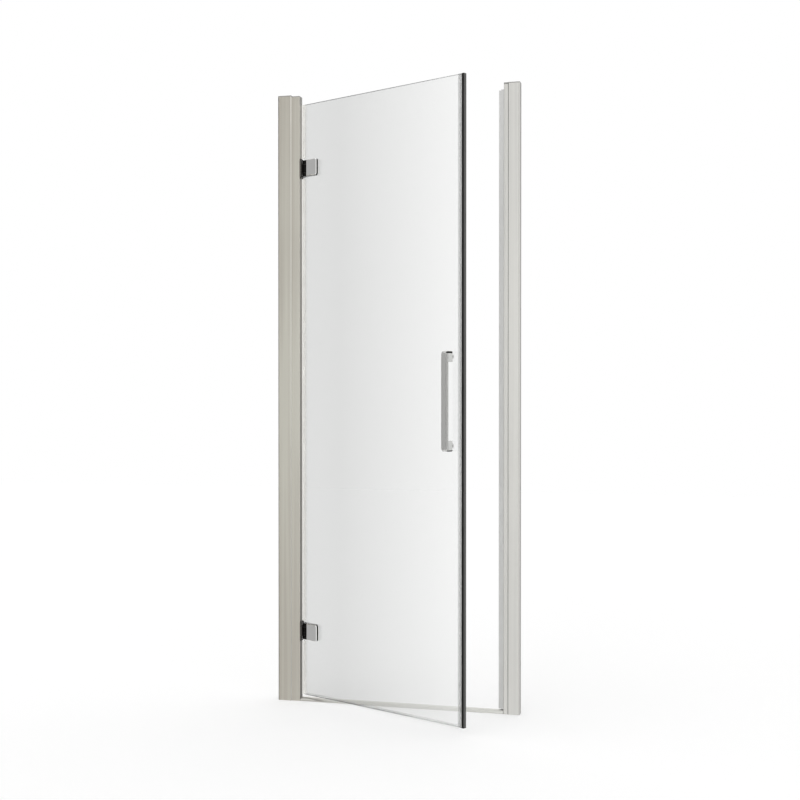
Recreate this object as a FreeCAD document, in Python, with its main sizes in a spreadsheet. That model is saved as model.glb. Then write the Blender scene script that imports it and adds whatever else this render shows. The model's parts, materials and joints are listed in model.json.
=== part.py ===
import FreeCAD, Part
import math
import os
import re
import Sketcher

# A hinged shower door for a recess, in millimetres. X runs along the wall-to-wall width, the outside
# of the shower faces -Y and +Z is up. The origin is the middle of the threshold's underside.
# The swinging pieces are drawn about the hinge axis as if the door were shut, then turned open.

# Driving dimensions, each with a name of its own
SIZES = {
    # The whole door
    "overall_width": 766,
    "overall_height": 1900,
    "door_open_angle": 25,
    "cut_overrun": 1,
    # Wall channels
    "channel_depth": 32,
    "channel_flange": 2.2,
    "channel_web": 2.4,
    "channel_corner_radius": 4,
    "channel_inside_radius": 1.8,
    "flange_bevel_share": 0.8,
    "hinge_channel_reach": 44,
    "strike_channel_reach": 36,
    "wall_hole_radius": 2.6,
    "wall_hole_end_distance": 150,
    "wall_hole_inner_spacing": 540,
    # Posts that slide into the channels
    "hinge_post_show": 27,
    "hinge_post_insert": 29,
    "strike_post_show": 13,
    "strike_post_insert": 23,
    "post_fit": 0.3,
    "post_wall": 1.8,
    "post_corner_radius": 1,
    "seal_slot_width": 6.4,
    # End caps
    "channel_cap_height": 2.5,
    "post_cap_height": 2,
    "cap_gap": 0.3,
    "cap_fit": 0.3,
    "cap_plug_length": 12,
    # Screws that lock the posts in the channels, and their covers
    "lock_screw_radius": 2,
    "lock_screw_head_radius": 4,
    "lock_screw_head_height": 2.4,
    "lock_screw_length": 9,
    "lock_screw_from_edge": 9,
    "lock_screw_spacing": 650,
    "cover_wall": 1.2,
    "cover_fit": 0.2,
    "cover_round_share": 0.6,
    "screw_hole_gap": 0.2,
    "thread_gap": 0.05,
    # Threshold
    "threshold_depth": 27,
    "threshold_height": 11,
    "threshold_edge_height": 3,
    "threshold_wall": 1.6,
    "threshold_plug_flange": 1.5,
    "threshold_plug_length": 14,
    "threshold_plug_fit": 0.25,
    # Magnet strips and the seals that hold them
    "magnet_thickness": 6,
    "magnet_width": 8.6,
    "magnet_gap": 0.1,
    "seal_wall": 1.2,
    "seal_base": 2,
    "seal_floor_gap": 1,
    "seal_slot_gap": 0.2,
    "strike_foot_width": 10,
    "strike_foot_thickness": 1.6,
    "strike_lip_gap": 0.6,
    "strike_lip_thickness": 1.3,
    "strike_lip_reach": 18,
    "strike_seal_above_glass": 10.5,
    "magnet_meeting_gap": 0.6,
    "clip_leg_length": 13,
    # Glass
    "glass_thickness": 8,
    "glass_bottom": 19,
    "glass_top_drop": 29,
    "glass_edge_behind_axis": 3.5,
    "glass_arris": 0.7,
    "notch_clearance": 1.3,
    "notch_corner_radius": 3,
    # Hinges
    "hinge_end_distance": 200,
    "hinge_axis_offset": 13,
    "hinge_height": 49.5,
    "knuckle_radius": 8,
    "knuckle_gap": 0.3,
    "lug_height": 24,
    "lug_neck_width": 10,
    "lug_sweep_gap": 1.5,
    "pin_radius": 4,
    "pin_running_gap": 0.05,
    "pin_end_recess": 0.5,
    "pin_end_bevel": 0.6,
    "press_gap": 0.02,
    "bush_radius": 5.5,
    "bush_flange_radius": 7.5,
    "bush_flange": 1.2,
    "bush_middle_gap": 1,
    "leaf_thickness": 4,
    "leaf_height": 62,
    "leaf_corner_radius": 6,
    "leaf_edge_bevel": 0.8,
    "leaf_screw_radius": 2.5,
    "leaf_screw_head_radius": 4.6,
    "leaf_screw_head_height": 2.4,
    "leaf_screw_spacing": 44,
    "head_recess_gap": 0.3,
    "backing_height": 56,
    "backing_thickness": 5,
    "backing_side_gap": 0.4,
    "plate_from_axis": 17,
    "plate_width": 43,
    "plate_neck_overlap": 3,
    "plate_neck_front": 3,
    "front_plate_thickness": 8,
    "back_plate_thickness": 6,
    "back_plate_width": 39,
    "plate_corner_radius": 5,
    "plate_edge_bevel": 1.4,
    "gasket_thickness": 1,
    "gasket_inset": 0.6,
    "clamp_screw_radius": 3,
    "clamp_screw_head_radius": 5.2,
    "clamp_screw_head_height": 3.2,
    "clamp_screw_spacing": 26,
    "clamp_screw_from_plate": 23,
    "clamp_thread_depth": 6,
    "clamp_hole_radius": 6,
    # Handle
    "handle_length": 286,
    "handle_width": 21,
    "handle_reach": 28,
    "handle_bar_thickness": 8,
    "handle_foot_height": 31,
    "handle_from_free_edge": 43,
    "handle_corner_radius": 11,
    "handle_edge_round": 3.5,
    "handle_gasket": 0.8,
    "handle_gasket_inset": 0.5,
    "handle_hole_radius": 5,
    "handle_sleeve_gap": 0.1,
    "handle_screw_radius": 2.5,
    "handle_screw_head_radius": 4.7,
    "handle_screw_head_height": 3,
    "handle_thread_depth": 12,
    "handle_washer_radius": 7.5,
    "handle_washer_thickness": 2,
    # Clear seals on the hinge edge and under the glass
    "edge_clip_length": 8,
    "edge_clip_wall": 1,
    "edge_fin_thickness": 1.2,
    "edge_fin_gap": 0.4,
    "edge_hinge_gap": 1,
    "drip_leg_height": 8,
    "drip_wall": 1,
    "drip_fin_gap": 1.5,
    "drip_end_gap": 0.5,
    "drip_rail_reach": 4,
    "drip_rail_drop_share": 0.5,
}

# Places worked out from the driving dimensions
PLACES = {
    "hinge_wall": "-overall_width / 2",
    "strike_wall": "overall_width / 2",
    "hinge_channel_edge": "hinge_wall + hinge_channel_reach",
    "strike_channel_edge": "strike_wall - strike_channel_reach",
    "hinge_face": "hinge_channel_edge + hinge_post_show",
    "strike_face": "strike_channel_edge - strike_post_show",
    "hinge_post_end": "hinge_channel_edge - hinge_post_insert",
    "strike_post_end": "strike_channel_edge + strike_post_insert",
    "channel_half": "channel_depth / 2",
    "channel_inner_half": "channel_half - channel_flange",
    "post_half": "channel_inner_half - post_fit",
    "post_inner_half": "post_half - post_wall",
    "channel_top": "overall_height - channel_cap_height",
    "post_cap_top": "channel_top - cap_gap",
    "post_top": "post_cap_top - post_cap_height",
    "flange_bevel": "channel_flange * flange_bevel_share",
    "lock_screw_low": "overall_height / 2 - lock_screw_spacing",
    "cover_radius": "lock_screw_head_radius + cover_fit + cover_wall",
    "cover_height": "lock_screw_head_height + cover_fit + cover_wall",
    "cover_round": "cover_height * cover_round_share",
    "threshold_rise": "threshold_height - threshold_edge_height",
    "crest_radius": "((threshold_depth / 2) ^ 2 + threshold_rise ^ 2) / (2 * threshold_rise)",
    "crest_centre": "threshold_height - crest_radius",
    "pocket_inner_half": "magnet_width / 2 + magnet_gap",
    "pocket_half": "pocket_inner_half + seal_wall",
    "pocket_room": "magnet_thickness + 2 * magnet_gap",
    "strike_pocket_back": "strike_face - seal_base",
    "strike_pocket_front": "strike_pocket_back - pocket_room",
    "strike_tip": "strike_pocket_front - seal_wall",
    "strike_lip_front": "pocket_half + strike_lip_gap",
    "strike_lip_back": "strike_lip_front + strike_lip_thickness",
    "strike_neck_half": "seal_slot_width / 2 - seal_slot_gap",
    "strike_foot_front": "strike_face + post_wall + seal_slot_gap",
    "strike_foot_back": "strike_foot_front + strike_foot_thickness",
    "seal_bottom": "threshold_height + seal_floor_gap",
    "glass_half": "glass_thickness / 2",
    "glass_top": "overall_height - glass_top_drop",
    "glass_start": "-glass_edge_behind_axis",
    "strike_seal_top": "glass_top + strike_seal_above_glass",
    "axis_x": "hinge_face + hinge_axis_offset",
    "nose_tip": "strike_tip - magnet_meeting_gap - axis_x",
    "nose_pocket_front": "nose_tip - seal_wall",
    "nose_pocket_back": "nose_pocket_front - pocket_room",
    "nose_pocket_side": "pocket_inner_half - seal_wall",
    "glass_end": "nose_pocket_back - seal_wall",
    "clip_leg_end": "glass_end - clip_leg_length",
    "lower_hinge_level": "glass_bottom + hinge_end_distance",
    "upper_hinge_level": "glass_top - hinge_end_distance",
    "plate_end": "plate_from_axis + plate_width",
    "neck_start": "knuckle_radius + lug_sweep_gap",
    "neck_end": "plate_from_axis + plate_neck_overlap",
    "back_plate_end": "neck_start + back_plate_width",
    "ear_start": "lug_height / 2 + bush_flange + knuckle_gap",
    "clamp_face": "glass_half + gasket_thickness",
    "clamp_screw_u": "plate_from_axis + clamp_screw_from_plate",
    "clamp_screw_z": "clamp_screw_spacing / 2",
    "clamp_head_depth": "clamp_screw_head_height + head_recess_gap",
    "clamp_head_seat": "clamp_face + back_plate_thickness - clamp_head_depth",
    "notch_end": "neck_end + notch_clearance",
    "notch_half": "hinge_height / 2 + notch_clearance",
    "leaf_front": "-hinge_axis_offset + leaf_thickness",
    "leaf_screw_z": "leaf_screw_spacing / 2",
    "leaf_head_depth": "leaf_screw_head_height + head_recess_gap",
    "backing_back": "-hinge_axis_offset - post_wall - backing_thickness",
    "handle_level": "(glass_bottom + glass_top) / 2",
    "handle_u": "glass_end - handle_from_free_edge",
    "handle_half": "handle_width / 2",
    "handle_foot": "glass_half + handle_gasket",
    "handle_front": "glass_half + handle_reach",
    "handle_bar_back": "handle_front - handle_bar_thickness",
    "handle_gap_z": "handle_length / 2 - handle_foot_height",
    "handle_screw_z": "(handle_length - handle_foot_height) / 2",
    "washer_back": "handle_foot + handle_washer_thickness",
    "handle_cover_height": "handle_screw_head_height + cover_fit + cover_wall",
    "edge_seal_web": "glass_start - edge_clip_wall",
    "edge_seal_leg": "glass_start + edge_clip_length",
    "edge_seal_half": "glass_half + edge_clip_wall",
    "edge_fin_tip": "edge_fin_gap - hinge_axis_offset",
    "edge_cut_half": "leaf_height / 2 + edge_hinge_gap",
    "drip_half": "glass_half + drip_wall",
    "drip_web": "glass_bottom - drip_wall",
    "drip_fin_bottom": "threshold_height + drip_fin_gap",
    "drip_rail_bottom": "drip_web - (drip_web - drip_fin_bottom) * drip_rail_drop_share",
    "drip_start": "edge_seal_leg + drip_end_gap",
    "drip_end": "clip_leg_end - drip_end_gap",
}

SAME_PLACE = 1e-4

doc = FreeCAD.newDocument("hinged_shower_door")
sizes = doc.addObject("Spreadsheet::Sheet", "sizes")
places = doc.addObject("Spreadsheet::Sheet", "places")


def bound(text, own_sheet=None):
    """Put the name of its sheet before each size and place in an expression."""
    def with_sheet(match):
        word = match.group()
        if word in SIZES:
            return f"sizes.{word}"
        if word in PLACES and own_sheet is not places:
            return f"places.{word}"
        return word
    return re.sub(r"[a-z]\w*", with_sheet, text)


def fill_sheet(sheet, cells):
    for row, (alias, content) in enumerate(cells.items(), start=1):
        sheet.set(f"A{row}", alias)
        sheet.set(f"B{row}", content)
        sheet.setAlias(f"B{row}", alias)


fill_sheet(sizes, {alias: str(number) for alias, number in SIZES.items()})
doc.recompute()
fill_sheet(places, {alias: "=" + bound(text, places) for alias, text in PLACES.items()})
doc.recompute()


def value(text):
    return float(places.evalExpression(bound(text, places)))


def rectangle(left, bottom, right, top):
    return [(left, bottom), (right, bottom), (right, top), (left, top)]


def circle(x, y, radius):
    return {"x": x, "y": y, "radius": radius}


def circles_up(x, heights, radius):
    return [circle(x, height, radius) for height in heights]


class Piece:
    """One sub-part: a body whose sketches, features and placement read the sheets."""

    made = []

    def __init__(self, label):
        self.body = doc.addObject("PartDesign::Body", label)
        self.body.Label = label
        self.count = 0
        Piece.made.append(self.body)

    def new(self, kind):
        self.count += 1
        return self.body.newObject(kind, f"{self.body.Label}_step_{self.count}")

    def sketch(self, plane, lift, shapes):
        """A sketch on one of the body's own planes, lifted along that plane's normal."""
        sketch = self.new("Sketcher::SketchObject")
        features = self.body.Origin.OriginFeatures
        sketch.AttachmentSupport = [(next(f for f in features if f.Role == plane), "")]
        sketch.MapMode = "FlatFace"
        sketch.setExpression("AttachmentOffset.Base.z", bound(lift))
        for shape in shapes:
            if isinstance(shape, dict):
                self.draw_circle(sketch, shape)
            else:
                self.draw_outline(sketch, shape)
        return sketch

    def place_point(self, sketch, geometry, point, x, y):
        for kind, text in (("DistanceX", x), ("DistanceY", y)):
            rule = sketch.addConstraint(Sketcher.Constraint(kind, -1, 1, geometry, point, value(text)))
            sketch.setExpression(f"Constraints[{rule}]", bound(text))

    def draw_circle(self, sketch, shape):
        centre = FreeCAD.Vector(value(shape["x"]), value(shape["y"]), 0)
        round_line = Part.Circle(centre, FreeCAD.Vector(0, 0, 1), value(shape["radius"]))
        geometry = sketch.addGeometry(round_line, False)
        self.place_point(sketch, geometry, 3, shape["x"], shape["y"])
        rule = sketch.addConstraint(Sketcher.Constraint("Radius", geometry, value(shape["radius"])))
        sketch.setExpression(f"Constraints[{rule}]", bound(shape["radius"]))

    def draw_outline(self, sketch, corners):
        """A closed outline. A third entry in a corner is the height of the centre of an arc,
        which then runs counter-clockwise from that corner to the next one at the same height."""
        points = [FreeCAD.Vector(value(corner[0]), value(corner[1]), 0) for corner in corners]
        following = points[1:] + points[:1]
        lines = []
        for corner, start, end in zip(corners, points, following):
            if len(corner) == 3:
                centre = FreeCAD.Vector((start.x + end.x) / 2, value(corner[2]), 0)
                ring = Part.Circle(centre, FreeCAD.Vector(0, 0, 1), start.distanceToPoint(centre))
                first_angle = math.atan2(start.y - centre.y, start.x - centre.x)
                last_angle = math.atan2(end.y - centre.y, end.x - centre.x)
                if last_angle <= first_angle:
                    last_angle += 2 * math.pi
                lines.append(sketch.addGeometry(Part.ArcOfCircle(ring, first_angle, last_angle), False))
            else:
                lines.append(sketch.addGeometry(Part.LineSegment(start, end), False))
        for line, next_line in zip(lines, lines[1:] + lines[:1]):
            sketch.addConstraint(Sketcher.Constraint("Coincident", line, 2, next_line, 1))
        for line, corner in zip(lines, corners):
            self.place_point(sketch, line, 1, corner[0], corner[1])
            if len(corner) == 3:
                height = Sketcher.Constraint("DistanceY", -1, 1, line, 3, value(corner[2]))
                rule = sketch.addConstraint(height)
                sketch.setExpression(f"Constraints[{rule}]", bound(corner[2]))

    def pad(self, plane, lift, length, shapes):
        """Add the shapes, drawn on the lifted plane and thickened along its normal."""
        sketch = self.sketch(plane, lift, shapes)
        pad = self.new("PartDesign::Pad")
        pad.Profile = sketch
        pad.setExpression("Length", bound(length))
        doc.recompute()

    def cut(self, plane, lift, length, shapes, along_normal=False):
        """Take the shapes away, from the lifted plane against its normal or along it."""
        before = self.body.Shape.Volume
        sketch = self.sketch(plane, lift, shapes)
        pocket = self.new("PartDesign::Pocket")
        pocket.Profile = sketch
        pocket.Reversed = along_normal
        pocket.setExpression("Length", bound(length))
        doc.recompute()
        if self.body.Shape.Volume >= before:
            raise ValueError(f"{pocket.Label} cuts nothing")

    def edges(self, along, **where):
        """Names of the straight edges along one axis whose middle lies at the given places."""
        names = []
        for number, edge in enumerate(self.body.Tip.Shape.Edges, start=1):
            start = edge.Vertexes[0].Point
            end = edge.Vertexes[-1].Point
            run = end - start
            if abs(abs(getattr(run, along)) - edge.Length) > SAME_PLACE or edge.Length < SAME_PLACE:
                continue
            middle = (start + end) / 2
            if all(min(abs(getattr(middle, axis) - value(text)) for text in texts) < SAME_PLACE
                   for axis, texts in where.items()):
                names.append(f"Edge{number}")
        return names

    def outer_edges(self, along, *levels):
        """Names of the edges round the flat faces that lie at these levels across one axis."""
        names = []
        wanted = [value(level) for level in levels]
        rims = []
        for face in self.body.Tip.Shape.Faces:
            box = face.BoundBox
            low = getattr(box, along + "Min")
            high = getattr(box, along + "Max")
            if high - low < SAME_PLACE and min(abs(low - level) for level in wanted) < SAME_PLACE:
                rims.extend(face.OuterWire.Edges)
        for number, edge in enumerate(self.body.Tip.Shape.Edges, start=1):
            if any(edge.isSame(rim) for rim in rims):
                names.append(f"Edge{number}")
        return names

    def dress(self, kind, size_name, size, names):
        if not names:
            raise ValueError(f"{self.body.Label} has no such edge")
        base = self.body.Tip
        feature = self.new(kind)
        feature.Base = (base, names)
        feature.setExpression(size_name, bound(size))
        doc.recompute()

    def round_edges(self, radius, names):
        self.dress("PartDesign::Fillet", "Radius", radius, names)

    def bevel_edges(self, size, names):
        self.dress("PartDesign::Chamfer", "Size", size, names)

    def at_axis(self, level="0", turned=False):
        """Move the piece, drawn about the hinge axis, to that axis, turned open with the door."""
        self.body.Placement = FreeCAD.Placement()
        self.body.setExpression("Placement.Base.x", bound("axis_x"))
        self.body.setExpression("Placement.Base.z", bound(level))
        if turned:
            self.body.setExpression("Placement.Rotation.Angle", bound("-door_open_angle"))
        doc.recompute()


def wall_hole_heights():
    middle = "overall_height / 2"
    inner = "wall_hole_inner_spacing / 2"
    return ["wall_hole_end_distance", f"{middle} - {inner}", f"{middle} + {inner}",
            "overall_height - wall_hole_end_distance"]


def lock_screw_heights():
    return ["lock_screw_low", "lock_screw_low + lock_screw_spacing",
            "lock_screw_low + 2 * lock_screw_spacing"]


# Each side of the frame: its wall, channel edge, post face and post end, and the sign of inwards
HINGE_SIDE = {"wall": "hinge_wall", "edge": "hinge_channel_edge", "face": "hinge_face",
              "end": "hinge_post_end", "inward": "1"}
STRIKE_SIDE = {"wall": "strike_wall", "edge": "strike_channel_edge", "face": "strike_face",
               "end": "strike_post_end", "inward": "-1"}


def lock_screw_x(side):
    return f"{side['edge']} - {side['inward']} * lock_screw_from_edge"


def make_wall_channel(label, side):
    """U extrusion with its web on the wall, screw holes in the web and in the inner flange."""
    wall, edge, inward = side["wall"], side["edge"], side["inward"]
    web = f"{wall} + {inward} * channel_web"
    channel = Piece(label)
    channel.pad("XY_Plane", "0", "channel_top", [[
        (wall, "-channel_half"), (edge, "-channel_half"), (edge, "-channel_inner_half"),
        (web, "-channel_inner_half"), (web, "channel_inner_half"), (edge, "channel_inner_half"),
        (edge, "channel_half"), (wall, "channel_half")]])
    channel.round_edges("channel_corner_radius",
                        channel.edges("z", x=[wall], y=["-channel_half", "channel_half"]))
    channel.round_edges("channel_inside_radius",
                        channel.edges("z", x=[web], y=["-channel_inner_half", "channel_inner_half"]))
    channel.bevel_edges("flange_bevel", channel.edges("z", x=[edge], y=["-channel_half", "channel_half"]))
    channel.cut("YZ_Plane", f"{wall} + {inward} * (channel_web + cut_overrun)",
                "channel_web + 2 * cut_overrun", circles_up("0", wall_hole_heights(), "wall_hole_radius"),
                along_normal=side is STRIKE_SIDE)
    channel.cut("XZ_Plane", "cut_overrun - channel_inner_half", "channel_flange + 2 * cut_overrun",
                circles_up(lock_screw_x(side), lock_screw_heights(), "lock_screw_radius + screw_hole_gap"))


def cut_lock_screw_holes(post, side):
    post.cut("XZ_Plane", "cut_overrun - post_inner_half", "post_wall + 2 * cut_overrun",
             circles_up(lock_screw_x(side), lock_screw_heights(), "lock_screw_radius + thread_gap"))


def make_hinge_post():
    """Box extrusion that carries the hinges on its inner face."""
    post = Piece("hinge_post")
    post.pad("XY_Plane", "0", "post_top", [
        rectangle("hinge_post_end", "-post_half", "hinge_face", "post_half"),
        rectangle("hinge_post_end + post_wall", "-post_inner_half",
                  "hinge_face - post_wall", "post_inner_half")])
    post.round_edges("post_corner_radius", post.edges("z", x=["hinge_face"], y=["-post_half", "post_half"]))
    cut_lock_screw_holes(post, HINGE_SIDE)
    heights = [f"{level} {sign} leaf_screw_z"
               for level in ("lower_hinge_level", "upper_hinge_level") for sign in "-+"]
    post.cut("YZ_Plane", "hinge_face - post_wall - cut_overrun", "post_wall + 2 * cut_overrun",
             circles_up("0", heights, "leaf_screw_radius + screw_hole_gap"), along_normal=True)


def make_strike_post():
    """C extrusion whose slot takes the foot of the strike seal."""
    inner_face = "strike_face + post_wall"
    inner_end = "strike_post_end - post_wall"
    slot = "seal_slot_width / 2"
    post = Piece("strike_post")
    post.pad("XY_Plane", "0", "post_top", [[
        ("strike_face", f"-{slot}"), (inner_face, f"-{slot}"), (inner_face, "-post_inner_half"),
        (inner_end, "-post_inner_half"), (inner_end, "post_inner_half"), (inner_face, "post_inner_half"),
        (inner_face, slot), ("strike_face", slot), ("strike_face", "post_half"),
        ("strike_post_end", "post_half"), ("strike_post_end", "-post_half"),
        ("strike_face", "-post_half")]])
    post.round_edges("post_corner_radius", post.edges("z", x=["strike_face"], y=["-post_half", "post_half"]))
    cut_lock_screw_holes(post, STRIKE_SIDE)


def make_channel_cap(label, side):
    """Flat cap on a channel, with a plug in the space between its web and the post."""
    wall, edge, inward = side["wall"], side["edge"], side["inward"]
    plug_half = "channel_inner_half - channel_inside_radius - cap_fit"
    cap = Piece(label)
    cap.pad("XY_Plane", "channel_top", "channel_cap_height",
            [rectangle(wall, "-channel_half", edge, "channel_half")])
    cap.round_edges("channel_corner_radius",
                    cap.edges("z", x=[wall], y=["-channel_half", "channel_half"]))
    cap.pad("XY_Plane", "channel_top - cap_plug_length", "cap_plug_length", [
        rectangle(f"{wall} + {inward} * (channel_web + cap_fit)", f"-({plug_half})",
                  f"{side['end']} - {inward} * cap_fit", plug_half)])


def make_post_cap(label, side):
    """Flat cap with a plug in the post's hollow; on the strike post it rises level with the channel's cap."""
    end, face, inward = side["end"], side["face"], side["inward"]
    plug_half = "post_inner_half - cap_fit"
    cap = Piece(label)
    cap.pad("XY_Plane", "post_top", "post_cap_height", [rectangle(end, "-post_half", face, "post_half")])
    if side is STRIKE_SIDE:
        shown_start = f"{side['edge']} + {inward} * cap_gap"
        cap.pad("XY_Plane", "post_cap_top", "overall_height - post_cap_top",
                [rectangle(shown_start, "-post_half", face, "post_half")])
    cap.round_edges("post_corner_radius", cap.edges("z", x=[face], y=["-post_half", "post_half"]))
    cap.pad("XY_Plane", "post_top - cap_plug_length", "cap_plug_length", [
        rectangle(f"{end} + {inward} * (post_wall + cap_fit)", f"-({plug_half})",
                  f"{face} - {inward} * (post_wall + cap_fit)", plug_half)])


def make_lock_screws(label, side):
    screws = Piece(label)
    heights = lock_screw_heights()
    screws.pad("XZ_Plane", "-channel_half - lock_screw_head_height", "lock_screw_head_height",
               circles_up(lock_screw_x(side), heights, "lock_screw_head_radius"))
    screws.pad("XZ_Plane", "-channel_half", "lock_screw_length",
               circles_up(lock_screw_x(side), heights, "lock_screw_radius"))


def make_screw_covers(label, side):
    """Domed covers that snap over the lock screws' heads."""
    covers = Piece(label)
    heights = lock_screw_heights()
    covers.pad("XZ_Plane", "-channel_half - cover_height", "cover_height",
               circles_up(lock_screw_x(side), heights, "cover_radius"))
    covers.round_edges("cover_round", covers.outer_edges("Y", "channel_half + cover_height"))
    covers.cut("XZ_Plane", "-channel_half", "lock_screw_head_height + cover_fit",
               circles_up(lock_screw_x(side), heights, "lock_screw_head_radius + cover_fit"))


def threshold_outline(inset):
    """Low arched section, or the same section drawn in all round by an inset."""
    half = f"(threshold_depth / 2 - ({inset}))"
    shoulder = f"crest_centre + sqrt((crest_radius - ({inset})) ^ 2 - {half} ^ 2)"
    return [(f"-{half}", inset), (half, inset), (half, shoulder, "crest_centre"), (f"-{half}", shoulder)]


def make_threshold():
    """Water bar along the tray, and the plugs that key its ends to the posts."""
    bar = Piece("threshold_bar")
    bar_start = "hinge_face + threshold_plug_flange"
    bar_end = "strike_face - threshold_plug_flange"
    bar.pad("YZ_Plane", bar_start, f"{bar_end} - ({bar_start})",
            [threshold_outline("0"), threshold_outline("threshold_wall")])
    plugs = Piece("threshold_end_plugs")
    plug_section = threshold_outline("threshold_wall + threshold_plug_fit")
    plug_run = "threshold_plug_flange + threshold_plug_length"
    plugs.pad("YZ_Plane", "hinge_face", "threshold_plug_flange", [threshold_outline("0")])
    plugs.pad("YZ_Plane", "hinge_face", plug_run, [plug_section])
    plugs.pad("YZ_Plane", bar_end, "threshold_plug_flange", [threshold_outline("0")])
    plugs.pad("YZ_Plane", f"strike_face - ({plug_run})", plug_run, [plug_section])


def make_strike_seal():
    """Seal in the strike post's slot: a magnet pocket and the lip that stops the shutting door."""
    lip_end = "strike_face - strike_lip_reach"
    foot_half = "strike_foot_width / 2"
    run = "strike_seal_top - seal_bottom"
    seal = Piece("strike_seal")
    seal.pad("XY_Plane", "seal_bottom", run, [
        [("strike_tip", "-pocket_half"), ("strike_pocket_back", "-pocket_half"),
         ("strike_pocket_back", "-strike_lip_back"), ("strike_face", "-strike_lip_back"),
         ("strike_face", "-strike_neck_half"), ("strike_foot_front", "-strike_neck_half"),
         ("strike_foot_front", f"-{foot_half}"), ("strike_foot_back", f"-{foot_half}"),
         ("strike_foot_back", foot_half), ("strike_foot_front", foot_half),
         ("strike_foot_front", "strike_neck_half"), ("strike_face", "strike_neck_half"),
         ("strike_face", "strike_lip_back"), (lip_end, "strike_lip_back"),
         (lip_end, "strike_lip_front"), ("strike_pocket_back", "strike_lip_front"),
         ("strike_pocket_back", "pocket_half"), ("strike_tip", "pocket_half")],
        rectangle("strike_pocket_front", "-pocket_inner_half", "strike_pocket_back", "pocket_inner_half")])
    magnet = Piece("strike_magnet")
    magnet.pad("XY_Plane", "seal_bottom", run, [
        rectangle("strike_pocket_front + magnet_gap", "-magnet_width / 2",
                  "strike_pocket_back - magnet_gap", "magnet_width / 2")])


def make_hinge_wall_side(prefix, level):
    """The fixed half of a hinge: leaf with its lug, bushes, screws and the plate in the post."""
    lug_half = "lug_height / 2"
    screw_heights = ["-leaf_screw_z", "leaf_screw_z"]
    leaf = Piece(f"{prefix}_wall_leaf")
    leaf.pad("YZ_Plane", "-hinge_axis_offset", "leaf_thickness",
             [rectangle("-post_half", "-leaf_height / 2", "post_half", "leaf_height / 2")])
    leaf.round_edges("leaf_corner_radius",
                     leaf.edges("x", y=["-post_half", "post_half"],
                                z=["-leaf_height / 2", "leaf_height / 2"]))
    leaf.bevel_edges("leaf_edge_bevel", leaf.outer_edges("X", "leaf_front"))
    leaf.pad("XY_Plane", f"-{lug_half}", "lug_height", [
        rectangle("leaf_front - leaf_thickness / 2", "-lug_neck_width / 2", "0", "lug_neck_width / 2")])
    leaf.pad("XY_Plane", f"-{lug_half}", "lug_height", [circle("0", "0", "knuckle_radius")])
    leaf.cut("XY_Plane", f"{lug_half} + cut_overrun", "lug_height + 2 * cut_overrun",
             [circle("0", "0", "bush_radius + press_gap")])
    leaf.cut("YZ_Plane", "-hinge_axis_offset - cut_overrun", "leaf_thickness + 2 * cut_overrun",
             circles_up("0", screw_heights, "leaf_screw_radius + screw_hole_gap"), along_normal=True)
    leaf.cut("YZ_Plane", "leaf_front - leaf_head_depth", "leaf_head_depth + cut_overrun",
             circles_up("0", screw_heights, "leaf_screw_head_radius + head_recess_gap"), along_normal=True)
    leaf.at_axis(level)

    bushes = Piece(f"{prefix}_bushes")
    bore = circle("0", "0", "pin_radius + pin_running_gap")
    sleeve_run = f"{lug_half} - bush_middle_gap / 2"
    sleeve = [circle("0", "0", "bush_radius"), bore]
    flange = [circle("0", "0", "bush_flange_radius"), bore]
    bushes.pad("XY_Plane", "bush_middle_gap / 2", sleeve_run, sleeve)
    bushes.pad("XY_Plane", lug_half, "bush_flange", flange)
    bushes.pad("XY_Plane", f"-{lug_half}", sleeve_run, sleeve)
    bushes.pad("XY_Plane", f"-{lug_half} - bush_flange", "bush_flange", flange)
    bushes.at_axis(level)

    screws = Piece(f"{prefix}_leaf_screws")
    head_seat = "leaf_front - leaf_head_depth"
    screws.pad("YZ_Plane", "backing_back", f"{head_seat} - backing_back",
               circles_up("0", screw_heights, "leaf_screw_radius"))
    screws.pad("YZ_Plane", head_seat, "leaf_screw_head_height",
               circles_up("0", screw_heights, "leaf_screw_head_radius"))
    screws.at_axis(level)

    backing = Piece(f"{prefix}_backing_plate")
    backing_half = "post_inner_half - backing_side_gap"
    backing.pad("YZ_Plane", "backing_back", "backing_thickness", [
        rectangle(f"-({backing_half})", "-backing_height / 2", backing_half, "backing_height / 2"),
        *circles_up("0", screw_heights, "leaf_screw_radius + thread_gap")])
    backing.at_axis(level)


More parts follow.
